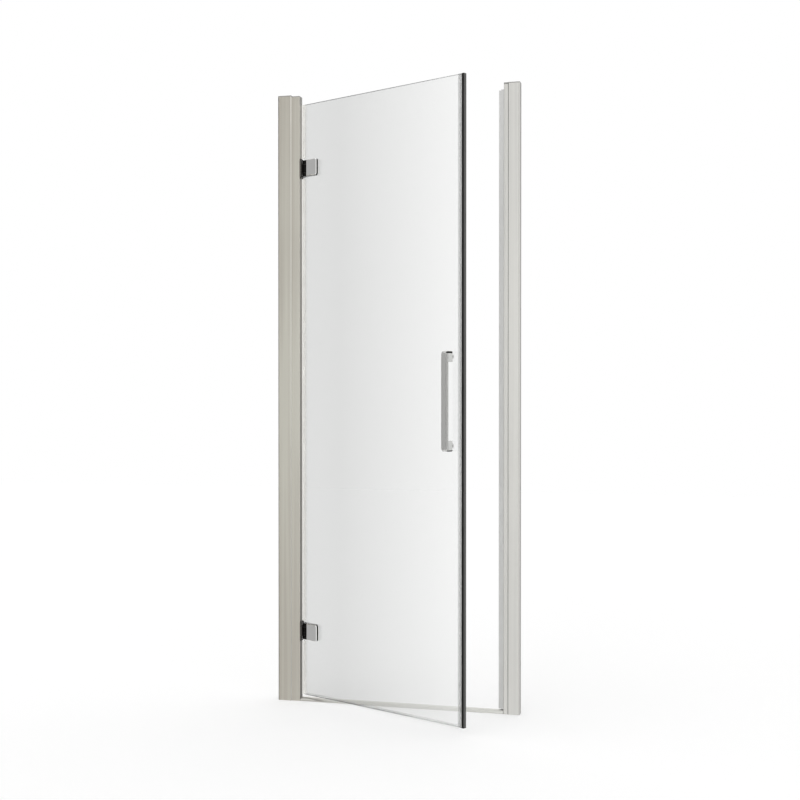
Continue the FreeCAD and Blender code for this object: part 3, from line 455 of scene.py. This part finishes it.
def satin_aluminium(name, axis, streaks, painted_marks):
    """Anodised extrusion with press lines along one axis, and painted light and shade on some of its faces.
    """
    material, wire = new_finish(name)
    lines = object_noise(wire, drawn_along(axis, *PRESS_LINES))
    bands = object_noise(wire, drawn_along(axis, *STREAK_BANDS))
    drift = object_noise(wire, DRIFT_FINENESS)
    place = {way: place_along(wire, way) for way in "XYZ"}
    strike_share = (place["X"] - cad_box[0].x) / (cad_box[1].x - cad_box[0].x)
    height_share = place["Z"] / cad_box[1].z
    # A painted highlight, strongest half-way up
    middle_highlight_share = 1 - abs(height_share * 2 - 1)
    lightened = bands * BANDS_LIGHTEN + drift * DRIFT_LIGHTENS + middle_highlight_share * MIDDLE_PAINTED_HIGHLIGHT
    light_share = lightened - ALL_DARKEN
    hinge_side, strike_side = [blend(wire, light_share, dark, light) for dark, light in streaks]
    colour = blend(wire, strike_share, hinge_side, strike_side)
    # Paint the light and shade of each mark on the faces that it picks out
    for direction, (way, begin), foot, top in painted_marks:
        painted_mask = (1 - facing(wire, direction) < MARK_WITHIN) * (begin - place[way] < 0)
        painted_tone = blend(wire, foot + (top - foot) * height_share, BLACK, WARM_WHITE)
        colour = blend(wire, painted_mask, colour, painted_tone)
    return principled(material, wire, {
        "Base Color": colour,
        "Metallic": 1.0,
        "Roughness": SATIN_ROUGHNESS + lines * LINES_ROUGHEN,
        "Normal": bumped(wire, lines, LINE_BUMP, LINE_DEPTH),
    })


upright_aluminium = {node: satin_aluminium(f"satin_{node}", Z_AXIS, UPRIGHT_STREAKS, painted_marks)
                     for node, painted_marks in PAINTED_LIGHT_MARKS.items()}
level_aluminium = satin_aluminium("satin_threshold", X_AXIS, LEVEL_STREAKS, [])
print("aluminium:", ", ".join(upright_aluminium), level_aluminium.name)

# %% [markdown]
# ## Chromed hinges
# The hinges are chrome plated. Plating is never quite even, so the gloss wanders a little and hands leave
# faint smudges. The clamp plates are bright on their faces and bevels, and their cut edges get a painted dark
# reflection: we tell them by the way a face points. The wall leaves stand in the dark gap beside the post,
# and their chrome is painted darker as painted shade. The barrels have a black low-friction coat, which
# covers everything closer to the pins than its radius.

# %% Plate the hinges
# A lighter and a darker plating, between which the smudges blend
PLATE_CHROME = ((0.96, 0.96, 0.95, 1), (0.90, 0.90, 0.89, 1))
# The wall leaves' plating is painted darker, as painted shade from the gap beside the post
LEAF_CHROME_PAINTED_SHADE = ((0.27, 0.255, 0.24, 1), (0.21, 0.195, 0.185, 1))
SMUDGE_FINENESS = (55, 55, 38)
SMUDGE_DETAIL = 4.0
SMUDGE_CONTRAST = 3
SMUDGES_ROUGHEN = 0.1
PLATED_ROUGHNESS = 0.03
# Painted dark reflection on the clamp plates' cut edges
PAINTED_DARK_EDGE = (0.04, 0.039, 0.037, 1)
EDGE_BELOW = 0.35
# Black for the barrels' coat, and for the painted dark reflection lines at the handle's ends
BLACK_COAT_AND_SHADE = (0.004, 0.004, 0.0035, 1)
COAT_GLOSS = 0.1
COAT_ROUGHENS = 0.3
BARREL_RADIUS = 0.0089
pane_normal = door_place.to_3x3() @ Vector((0, 1, 0))


def barrel_mask(wire):
    """1 on what lies round the hinge pins."""
    flat = vector_maths(wire, "MULTIPLY", object_place(wire), (1, 1, 0), "Vector")
    pins = (hinge_axis.x, hinge_axis.y, 0)
    return vector_maths(wire, "DISTANCE", flat, pins) < BARREL_RADIUS


def hinge_chrome(name, face_normal, platings):
    material, wire = new_finish(name)
    smudge = object_noise(wire, SMUDGE_FINENESS, SMUDGE_DETAIL)
    barrel = barrel_mask(wire)
    plated = blend(wire, smudge, *platings)
    # Cut edges get a painted dark reflection
    edges_painted_dark = blend(wire, facing(wire, face_normal) < EDGE_BELOW, plated, PAINTED_DARK_EDGE)
    smudged = smudge ** SMUDGE_CONTRAST * SMUDGES_ROUGHEN
    return principled(material, wire, {
        "Base Color": blend(wire, barrel, edges_painted_dark, BLACK_COAT_AND_SHADE),
        "Metallic": 1 - barrel,
        "Roughness": PLATED_ROUGHNESS + smudged + barrel * COAT_ROUGHENS,
        "Specular IOR Level": COAT_GLOSS,
    })


plate_chrome = hinge_chrome("plate_chrome", pane_normal, PLATE_CHROME)
leaf_chrome_painted_shade = hinge_chrome("leaf_chrome_painted_shade", SIDE, LEAF_CHROME_PAINTED_SHADE)
print("hinges:", plate_chrome.name, leaf_chrome_painted_shade.name)

# %% [markdown]
# ## The handle and the screws
# The handle is chrome plated too. Its front is brushed lengthwise and its sides are smooth. The long corner
# between them has painted shade, and the rounded edges of its two ends have a painted dark reflection line.
# We find the corner by the way a face points, and the lines by how far they are from the ends. The screws
# are plain stainless steel, rougher and darker.

# %% Brush the handle and turn the steel
BRUSHING = (5, 1100)
BRUSHED_DARK = (0.58, 0.58, 0.565, 1)
BRUSHED_LIGHT = (0.70, 0.70, 0.685, 1)
BRUSH_BUMP = 0.05
BRUSH_DEPTH = 0.0001
SMOOTH_SIDE = (0.72, 0.72, 0.71, 1)
SMOOTH_ROUGHNESS = 0.10
FRONT_ROUGHENS = 0.2
BRUSHING_ROUGHENS = 0.06
FACE_CONTRAST = 4
# Painted shade along the long corner between the handle's front and side
CORNER_PAINTED_SHADE = (0.33, 0.33, 0.32, 1)
CORNER_WITHIN = 0.08
# Painted dark end lines: how far from the top one begins and ends, how far from the bottom the other ends
TOP_LINE_BEGIN = 0.0062
TOP_LINE_END = 0.0012
BOTTOM_LINE_END = 0.0036
LINE_TURNED_OUT = 0.06
STEEL_DARK = (0.42, 0.42, 0.41, 1)
STEEL_LIGHT = (0.56, 0.56, 0.55, 1)
STEEL_GRAIN = (1400, 1400, 1400)
STEEL_ROUGHNESS = 0.22
GRAIN_ROUGHENS = 0.16
pane_along = door_place.to_3x3() @ Vector((1, 0, 0))


def brushed_chrome():
    material, wire = new_finish("brushed_chrome")
    brushing = object_noise(wire, drawn_along(Z_AXIS, *BRUSHING))
    low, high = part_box("handle")
    level = place_along(wire, "Z")
    # Painted dark reflection lines near the handle's rounded ends
    top_line = (high.z - TOP_LINE_BEGIN - level < 0) * (level < high.z - TOP_LINE_END)
    bottom_line = level < low.z + BOTTOM_LINE_END
    painted_end_line = (bottom_line | top_line) * (LINE_TURNED_OUT - facing(wire, pane_along) < 0)
    # The long corner gets painted shade
    corner = 1 - facing(wire, (pane_along - pane_normal).normalized()) < CORNER_WITHIN
    brushed = blend(wire, brushing, BRUSHED_DARK, BRUSHED_LIGHT)
    smooth = blend(wire, facing(wire, pane_along) ** FACE_CONTRAST, brushed, SMOOTH_SIDE)
    corner_painted_shade = blend(wire, corner, smooth, CORNER_PAINTED_SHADE)
    front = facing(wire, pane_normal) ** FACE_CONTRAST
    roughened = front * FRONT_ROUGHENS + brushing * BRUSHING_ROUGHENS + painted_end_line * COAT_ROUGHENS
    return principled(material, wire, {
        "Base Color": blend(wire, painted_end_line, corner_painted_shade, BLACK_COAT_AND_SHADE),
        "Metallic": 1 - painted_end_line,
        "Roughness": SMOOTH_ROUGHNESS + roughened,
        "Specular IOR Level": COAT_GLOSS,
        "Normal": bumped(wire, brushing, BRUSH_BUMP, BRUSH_DEPTH),
    })


def stainless_steel():
    material, wire = new_finish("stainless_steel")
    turned = object_noise(wire, STEEL_GRAIN)
    return principled(material, wire, {
        "Base Color": blend(wire, turned, STEEL_DARK, STEEL_LIGHT),
        "Metallic": 1.0,
        "Roughness": STEEL_ROUGHNESS + turned * GRAIN_ROUGHENS,
    })


handle_chrome = brushed_chrome()
steel = stainless_steel()
print("metals:", handle_chrome.name, steel.name)

# %% [markdown]
# ## Toughened glass
# The pane is 8 mm float glass. From the front it only takes a little light away, but at its ground and
# polished edges you look along the pane and see its grey-green depth. We tell the two apart by the direction
# that a face points in the piece's own axes, so the edge keeps its colour wherever the door swings. A clear
# coat mirrors a little more than bare glass, and dried drops make the gloss wander.

# %% Write the glass
PANE_TINT = (0.785, 0.79, 0.785, 1)
EDGE_TINT = (0.31, 0.35, 0.335, 1)
PANE_CONTRAST = 2
DROP_FINENESS = (30, 30, 12)
DROP_DETAIL = 5.0
DROP_CONTRAST = 4
DROPS_ROUGHEN = 0.03
GLASS_IOR = 1.52
CLEAR_COAT_IOR = 1.8


def toughened_glass():
    material, wire = new_finish("toughened_glass")
    drops = object_noise(wire, DROP_FINENESS, DROP_DETAIL)
    return principled(material, wire, {
        "Base Color": blend(wire, facing(wire, pane_normal) ** PANE_CONTRAST, EDGE_TINT, PANE_TINT),
        "Roughness": drops ** DROP_CONTRAST * DROPS_ROUGHEN,
        "IOR": GLASS_IOR,
        "Transmission Weight": 1.0,
        "Coat Weight": 1.0,
        "Coat IOR": CLEAR_COAT_IOR,
    })


glass = toughened_glass()
# Clear glass throws hardly any shadow
frame["nodes"]["glass_panel"].visible_shadow = False
print("glass:", glass.name)

# %% [markdown]
# ## Plastics and rubber
# The caps are moulded with a fine spark grain, the seals are extruded and smooth, and the magnet strips and
# gaskets are matt. Each gets its own small noise, because no plastic is one flat colour. The clear seals are
# so thin that light goes straight through, so alpha is truer for them than refraction. The seal at the hinge
# edge is milky, and a weak glow stands for the light that comes through it. The clip on the free edge is
# smoky: it is hardly seen where it is thin on the glass, and nearly black in its thick nose.

# %% Write the plastics
CLOUD_FINENESS = (14, 14, 6)
SPARK_ROUGHENS = 0.12
SPARK_BUMP = 0.15
CLEAR_ALPHA = 0.06
MILKY_ALPHA = 0.35
MILKY_GLOW = 0.3
MILKY_LIGHT = (1, 0.98, 0.94, 1)
MAGNET_GLOSS = 0.15
CLIP_ALPHA = 0.15
NOSE_ALPHA = 0.85
CLIP_ROUGHNESS = 0.16
CLOUD_ROUGHENS = 0.12


def plastic(name, colours, roughness, grain, depth, more=None):
    """A plastic of two close colours, with the size of its grain and the grain's depth in metres."""
    material, wire = new_finish(name)
    spark = object_noise(wire, (1 / grain, 1 / grain, 1 / grain))
    cloud = object_noise(wire, CLOUD_FINENESS)
    return principled(material, wire, {
        "Base Color": blend(wire, cloud, *colours),
        "Roughness": roughness + spark * SPARK_ROUGHENS,
        "Normal": bumped(wire, spark, SPARK_BUMP, depth),
        **(more or {}),
    })


def clip_vinyl(name, colours):
    """Vinyl that is thin on the glass and thick in the nose beyond the pane's free edge."""
    material, wire = new_finish(name)
    cloud = object_noise(wire, CLOUD_FINENESS)
    glass_edge = hinge_axis.dot(pane_along) + glass_high.x
    nose = glass_edge - vector_maths(wire, "DOT_PRODUCT", object_place(wire), pane_along) < 0
    return principled(material, wire, {
        "Base Color": blend(wire, cloud, *colours),
        "Roughness": CLIP_ROUGHNESS + cloud * CLOUD_ROUGHENS,
        "Alpha": CLIP_ALPHA + nose * (NOSE_ALPHA - CLIP_ALPHA),
    })


cap_plastic = plastic(
    "moulded_cap", ((0.30, 0.295, 0.28, 1), (0.36, 0.35, 0.335, 1)),
    roughness=0.42, grain=0.0006, depth=0.0001)
grey_vinyl = plastic(
    "grey_vinyl", ((0.78, 0.78, 0.765, 1), (0.86, 0.86, 0.845, 1)),
    roughness=0.34, grain=0.0009, depth=0.00005)
clear_vinyl = plastic(
    "clear_vinyl", ((0.84, 0.85, 0.83, 1), (0.92, 0.93, 0.91, 1)),
    roughness=0.12, grain=0.02, depth=0.00001, more={"Alpha": CLEAR_ALPHA})
milky_vinyl = plastic(
    "milky_vinyl", ((0.86, 0.85, 0.81, 1), (0.93, 0.92, 0.88, 1)),
    roughness=0.2, grain=0.02, depth=0.00001,
    more={"Alpha": MILKY_ALPHA, "Emission Color": MILKY_LIGHT, "Emission Strength": MILKY_GLOW})
smoky_vinyl = clip_vinyl("smoky_vinyl", ((0.09, 0.09, 0.086, 1), (0.13, 0.13, 0.126, 1)))
magnet_strip = plastic(
    "magnet_strip", ((0.006, 0.006, 0.006, 1), (0.014, 0.013, 0.012, 1)),
    roughness=0.6, grain=0.0007, depth=0.0001, more={"Specular IOR Level": MAGNET_GLOSS})
nylon = plastic(
    "black_nylon", ((0.010, 0.010, 0.010, 1), (0.020, 0.019, 0.018, 1)),
    roughness=0.4, grain=0.0008, depth=0.00005)
gasket_rubber = plastic(
    "gasket_rubber", ((0.42, 0.43, 0.42, 1), (0.50, 0.51, 0.50, 1)),
    roughness=0.5, grain=0.0007, depth=0.0001)
print("vinyls:", grey_vinyl.name, clear_vinyl.name, milky_vinyl.name, smoky_vinyl.name)
print("other plastics:", cap_plastic.name, magnet_strip.name, nylon.name, gasket_rubber.name)

# %% [markdown]
# ## Dress the packed pieces
# Every packed node already names its material slot, so one table from slot to finish dresses them all. A few
# nodes differ from their slot: the uprights have their painted light and shade, the handle is brushed, what
# holds it is pale or clear, and the hinges' wall leaves are painted darker as shade. The pane is not to
# mirror the handle, as it doesn't in the picture.

# %% Hand each node its finish
FINISHES = {
    "satin_aluminium": level_aluminium,
    "cap_plastic": cap_plastic,
    "screw_steel": steel,
    "chrome": plate_chrome,
    "toughened_glass": glass,
    "grey_seal": grey_vinyl,
    "clear_seal": clear_vinyl,
    "magnet": magnet_strip,
    "bush_nylon": nylon,
    "gasket": gasket_rubber,
}
# Blender adds a point and a number to a material's name when the name is taken
for node_object in frame["nodes"].values():
    painted = node_object.material_slots[0]
    painted.material = FINISHES[painted.material.name.split(".")[0]]
OWN_FINISHES = {
    **upright_aluminium,
    "handle": handle_chrome,
    "handle_washers": grey_vinyl,
    "handle_screw_covers": grey_vinyl,
    "handle_sleeves": clear_vinyl,
    "handle_gaskets": clear_vinyl,
    "upper_hinge_wall_leaf": leaf_chrome_painted_shade,
    "lower_hinge_wall_leaf": leaf_chrome_painted_shade,
}
for node_name, own_finish in OWN_FINISHES.items():
    frame["nodes"][node_name].material_slots[0].material = own_finish
frame["nodes"]["handle"].visible_glossy = False
print("dressed", len(frame["nodes"]), "nodes,", len(OWN_FINISHES), "with a finish of their own")

# %% [markdown]
# ## Press the seals out of their sections
# A seal is made by pushing soft vinyl through a die, so its whole shape is one section and a length. That is
# a rule, and Geometry Nodes can follow it: the tree takes the drawn outline, rounds its corners as a die
# does, fills it and draws it out along Z. Change the outline or the run, and the strip follows.

# %% Build the die
WELD = 1e-6
CORNER_STEPS = 4


def start_tree(name, kinds):
    """A Geometry Nodes tree with named inputs, and a wire for each of them."""
    tree = bpy.data.node_groups.new(name, "GeometryNodeTree")
    for label, kind in kinds.items():
        tree.interface.new_socket(label, in_out="INPUT", socket_type=f"NodeSocket{kind}")
    tree.interface.new_socket("Geometry", in_out="OUTPUT", socket_type="NodeSocketGeometry")
    wire = Wire(tree)
    return wire, {label: wire.node("NodeGroupInput", output=label) for label in kinds}


def end_tree(wire, shape, material):
    real = wire.node("GeometryNodeRealizeInstances", inputs={"Geometry": shape})
    painted = wire.node("GeometryNodeSetMaterial", inputs={"Geometry": real, "Material": material})
    wire.node("NodeGroupOutput", inputs={0: painted})
    return wire.tree


def upward(wire, height):
    """A vector straight up."""
    return wire.node("ShaderNodeCombineXYZ", inputs={"Z": height})


def closed(wire, drawn, foot):
    """Close a drawn-out shape with the face that it started from, and weld the seam."""
    turned = wire.node("GeometryNodeFlipFaces", inputs={"Mesh": foot})
    joined = wire.node("GeometryNodeJoinGeometry", inputs={"Geometry": [drawn, turned]})
    return wire.node("GeometryNodeMergeByDistance", inputs={"Geometry": joined, "Distance": WELD})


def die_tree():
    wire, given = start_tree("extrusion_die", {
        "Outline": "Geometry", "Run": "Float", "Rounding": "Float", "Material": "Material"})
    outline = wire.node("GeometryNodeMeshToCurve", inputs={"Mesh": given["Outline"]})
    rounded = wire.node("GeometryNodeFilletCurve", {"mode": "POLY"}, {
        "Curve": outline, "Count": CORNER_STEPS, "Radius": given["Rounding"], "Limit Radius": True})
    foot = wire.node("GeometryNodeFillCurve", {"mode": "TRIANGLES"}, {"Curve": rounded})
    drawn = wire.node("GeometryNodeExtrudeMesh", {"mode": "FACES"}, {
        "Mesh": foot, "Offset": upward(wire, 1), "Offset Scale": given["Run"], "Individual": False})
    return end_tree(wire, closed(wire, drawn, foot), given["Material"])


die = die_tree()
print("die inputs:", [item.name for item in die.interface.items_tree if item.in_out == "INPUT"])

# %% [markdown]
# ## From a tree to a piece
# A tree only works while it hangs on an object as a modifier. We set its inputs, let Blender work it out,
# keep the result as a plain mesh and take the modifier away. Then the mesh is moved to its place, rides on
# its body and stands for a packed node.

# %% Grow a piece and settle it
SMOOTH_BELOW = math.radians(40)
DIE_ROUNDING = 0.0004


def grow(name, mesh, tree, values):
    """Run a tree on a mesh and keep the result as a plain mesh."""
    piece = add_object(name, mesh)
    modifier = piece.modifiers.new("grow", "NODES")
    modifier.node_group = tree
    for socket in tree.interface.items_tree:
        if socket.in_out == "INPUT" and socket.name in values:
            modifier[socket.identifier] = values[socket.name]
    grown = bpy.data.meshes.new_from_object(piece.evaluated_get(bpy.context.evaluated_depsgraph_get()))
    piece.modifiers.remove(modifier)
    piece.data = grown
    return piece


def settle(piece, place, body, node):
    """Put a grown piece in its place and let it stand for a packed node."""
    piece.data.transform(place)
    piece.data.shade_smooth()
    piece.data.set_sharp_from_angle(angle=SMOOTH_BELOW)
    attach(piece, body)
    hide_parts(node)
    print(piece.name, "faces:", len(piece.data.polygons))


def strip(name, loops, run, material):
    """A strip drawn out along Z. Its section is one loop of XY points, then one for each hollow."""
    points, edges = [], []
    for loop in loops:
        first, count = len(points), len(loop)
        edges += [(first + corner, first + (corner + 1) % count) for corner in range(count)]
        points += [(x, y, 0) for x, y in loop]
    section = mesh_of(name, points, edges, [])
    return grow(name, section, die, {"Run": run, "Rounding": DIE_ROUNDING, "Material": material})


print("corners of a strip are rounded by", DIE_ROUNDING)

# %% [markdown]
# ## The four seals
# The closing edge carries a clip whose nose holds the black magnet strip, open at the front. The hinge edge
# has a clip with a beaded fin in three runs, cut away at the hinges. Under the glass hangs a wiper with a
# drip rail, and in the strike post sits the grey seal with the other magnet and a long lip to stop the door.
# The outer sizes are read from the packed nodes, and only the walls are written here.

# %% Draw the four sections
SEAL_WALL = 0.0012
THIN_WALL = 0.0010
FIN_HALF = 0.0006
BEAD_HALF = 0.0010
BEAD_LENGTH = 0.0018
POCKET_DEPTH = 0.0062
STRIKE_BASE = 0.0020
STRIKE_LIP = 0.0013
STRIKE_NECK_HALF = 0.0030
STRIKE_FOOT_HALF = 0.0050
STRIKE_FOOT_DEPTH = 0.0016


def free_edge_outline(low, high):
    """In u and v: a clip round the pane's edge and a nose with a pocket that is open at the front."""
    front, side = high.x - SEAL_WALL, high.y - 2 * SEAL_WALL
    back = front - POCKET_DEPTH
    return [[(low.x, low.y), (back, low.y), (back, side), (front, side), (front, low.y), (high.x, low.y),
             (high.x, high.y), (low.x, high.y), (low.x, glass_high.y), (glass_high.x, glass_high.y),
             (glass_high.x, glass_low.y), (low.x, glass_low.y)]]


def hinge_edge_outline(low, high):
    """In u and v: a clip round the pane's edge and a fin with a bead."""
    web, neck = glass_low.x - THIN_WALL, low.x + BEAD_LENGTH
    return [[(high.x, glass_high.y), (glass_low.x, glass_high.y), (glass_low.x, glass_low.y),
             (high.x, glass_low.y), (high.x, low.y), (web, low.y), (web, -FIN_HALF), (neck, -FIN_HALF),
             (neck, -BEAD_HALF), (low.x, -BEAD_HALF), (low.x, BEAD_HALF), (neck, BEAD_HALF), (neck, FIN_HALF),
             (web, FIN_HALF), (web, high.y), (high.x, high.y)]]


def drip_outline(low, high):
    """In v and z, because it runs along u: a clip, a wiper with a bead and a drip rail."""
    web, bead = glass_low.z - THIN_WALL, low.z + BEAD_LENGTH
    clip, rail = glass_high.y + THIN_WALL, (web + low.z) / 2
    return [[(-clip, web), (-FIN_HALF, web), (-FIN_HALF, bead), (-BEAD_HALF, bead), (-BEAD_HALF, low.z),
             (BEAD_HALF, low.z), (BEAD_HALF, bead), (FIN_HALF, bead), (FIN_HALF, web), (glass_high.y, web),
             (high.y, rail), (high.y, rail + THIN_WALL), (clip, glass_low.z), (clip, high.z),
             (glass_high.y, high.z), (glass_high.y, glass_low.z), (glass_low.y, glass_low.z),
             (glass_low.y, high.z), (-clip, high.z)]]


def strike_outline(low, high, half):
    """In X and Y. Half is half the width of the magnet's pocket, the same as on the door."""
    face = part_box("strike_post")[0].x
    base, foot, lip = face - STRIKE_BASE, high.x - STRIKE_FOOT_DEPTH, high.y - STRIKE_LIP
    pocket, inner = base - POCKET_DEPTH, half - SEAL_WALL
    tip, neck, toe = pocket - SEAL_WALL, STRIKE_NECK_HALF, STRIKE_FOOT_HALF
    return [[(tip, -half), (base, -half), (base, low.y), (face, low.y), (face, -neck), (foot, -neck),
             (foot, -toe), (high.x, -toe), (high.x, toe), (foot, toe), (foot, neck), (face, neck),
             (face, high.y), (low.x, high.y), (low.x, lip), (base, lip), (base, half), (tip, half)],
            [(pocket, -inner), (base, -inner), (base, inner), (pocket, inner)]]


edge_low, edge_high = door_box("free_edge_seal")
drip_low, drip_high = door_box("drip_seal")
strike_low, strike_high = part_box("strike_seal")
edge_section = free_edge_outline(edge_low, edge_high)
fin_section = hinge_edge_outline(*door_box("hinge_edge_seal"))
drip_section = drip_outline(drip_low, drip_high)
strike_section = strike_outline(strike_low, strike_high, edge_high.y)
sections = (edge_section, fin_section, drip_section, strike_section)
print("corners drawn:", [sum(len(loop) for loop in section) for section in sections])

# %% Press the four seals
LEVEL_DIGITS = 5


def runs_of(node):
    """Lowest and highest z of each of a node's runs, from the bottom up."""
    levels = sorted({round(vertex.co.z, LEVEL_DIGITS) for vertex in frame["nodes"][node].data.vertices})
    return list(zip(levels[::2], levels[1::2]))


def lifted(height):
    return Matrix.Translation((0, 0, height))


free_seal = strip("free_edge_clip", edge_section, edge_high.z - edge_low.z, smoky_vinyl)
settle(free_seal, door_place @ lifted(edge_low.z), "door", "free_edge_seal")

for number, (run_low, run_high) in enumerate(runs_of("hinge_edge_seal"), start=1):
    fin_seal = strip(f"hinge_edge_fin_{number}", fin_section, run_high - run_low, milky_vinyl)
    settle(fin_seal, door_place @ lifted(run_low), "door", "hinge_edge_seal")

along_u = Matrix(((0, 0, 1, drip_low.x), (1, 0, 0, 0), (0, 1, 0, 0), (0, 0, 0, 1)))
wiper = strip("drip_wiper", drip_section, drip_high.x - drip_low.x, clear_vinyl)
settle(wiper, door_place @ along_u, "door", "drip_seal")

stop_seal = strip("strike_stop", strike_section, strike_high.z - strike_low.z, grey_vinyl)
settle(stop_seal, lifted(strike_low.z), "frame", "strike_seal")

# %% [markdown]
# ## Screws with real sockets
# A socket screw is turned from bar: shank, head, a small chamfer, and a six-sided hole pressed into the top.
# The tree does the same. It starts from the shank's end, pushes the top face up in steps and widens or
# narrows it, takes the hexagon away, and sets one screw on every point that it is given. The packed screws
# tell where the points are and how long each screw is.

# %% Build the screw
SCREW_SIDES = 48
HEX_SIDES = 6
CHAMFER_SHARE = 0.16
HEX_SHARE = 0.52
HEX_DEPTH_SHARE = 0.6


def raised(wire, mesh, top, height, factor):
    """Push the top face up and scale it. Gives the mesh and the new top."""
    pushed = wire.node("GeometryNodeExtrudeMesh", {"mode": "FACES"}, {
        "Mesh": mesh, "Offset": upward(wire, 1), "Offset Scale": height, "Individual": False,
        **({"Selection": top} if top else {})})
    new_top = Wire(wire.tree, pushed.socket.node.outputs["Top"])
    scaled = wire.node("GeometryNodeScaleElements", inputs={
        "Geometry": pushed, "Selection": new_top, "Scale": factor})
    return scaled, new_top


def moved_up(wire, mesh, height):
    return wire.node("GeometryNodeTransform", inputs={"Geometry": mesh, "Translation": upward(wire, height)})


def screw_tree():
    wire, given = start_tree("socket_screws", {
        "Seats": "Geometry", "Head Radius": "Float", "Head Height": "Float", "Shank Radius": "Float",
        "Shank Length": "Float", "Material": "Material"})
    head, height, shank = given["Head Radius"], given["Head Height"], given["Shank Radius"]
    circle = wire.node("GeometryNodeMeshCircle", {"fill_type": "NGON"}, {
        "Vertices": SCREW_SIDES, "Radius": shank})
    foot = moved_up(wire, circle, -1 * given["Shank Length"])
    chamfer = head * CHAMFER_SHARE
    turned, top = raised(wire, foot, None, given["Shank Length"], 1)
    for rise, factor in ((0, head / shank), (height - chamfer, 1), (chamfer, 1 - CHAMFER_SHARE)):
        turned, top = raised(wire, turned, top, rise, factor)
    # The key's middle is level with the head, so it is twice as long as the hole is deep
    key = wire.node("GeometryNodeMeshCylinder", inputs={
        "Vertices": HEX_SIDES, "Radius": head * HEX_SHARE, "Depth": height * HEX_DEPTH_SHARE * 2})
    screw = wire.node("GeometryNodeMeshBoolean", {"operation": "DIFFERENCE"}, {
        0: closed(wire, turned, foot), 1: moved_up(wire, key, height)})
    set_out = wire.node("GeometryNodeInstanceOnPoints", inputs={"Points": given["Seats"], "Instance": screw})
    return end_tree(wire, set_out, given["Material"])


screws = screw_tree()
print("screw inputs:", [item.name for item in screws.interface.items_tree if item.in_out == "INPUT"])

# %% Set the screws
CLAMP_HEAD_HEIGHT = 0.0032
CLAMP_SHANK_RADIUS = 0.0030
LEAF_HEAD_HEIGHT = 0.0024
LEAF_SHANK_RADIUS = 0.0025


def screw_pair(name, node, place, body, head_height, shank_radius):
    """Two screws along the local Z of a matrix, one above the other in its Y."""
    low, high = box_along(place, node)
    head_radius = (high.x - low.x) / 2
    seat = high.z - head_height
    seats = [((low.x + high.x) / 2, level, seat) for level in (low.y + head_radius, high.y - head_radius)]
    pair = grow(name, mesh_of(name, seats, [], []), screws, {
        "Head Radius": head_radius, "Head Height": head_height, "Shank Radius": shank_radius,
        "Shank Length": seat - low.z, "Material": steel})
    settle(pair, place, body, node)


# Clamp screws look along v and leaf screws along X
towards_v = door_place @ Matrix(((-1, 0, 0, 0), (0, 0, 1, 0), (0, 1, 0, 0), (0, 0, 0, 1)))
towards_x = Matrix(((0, 0, 1, 0), (1, 0, 0, 0), (0, 1, 0, 0), (0, 0, 0, 1)))
for hinge in ("upper", "lower"):
    screw_pair(f"{hinge}_clamp_sockets", f"{hinge}_hinge_clamp_screws", towards_v, "door",
               CLAMP_HEAD_HEIGHT, CLAMP_SHANK_RADIUS)
    screw_pair(f"{hinge}_leaf_sockets", f"{hinge}_hinge_leaf_screws", towards_x, "frame",
               LEAF_HEAD_HEIGHT, LEAF_SHANK_RADIUS)

# %% [markdown] ## Finish The dressed door must not be larger than the packed one.
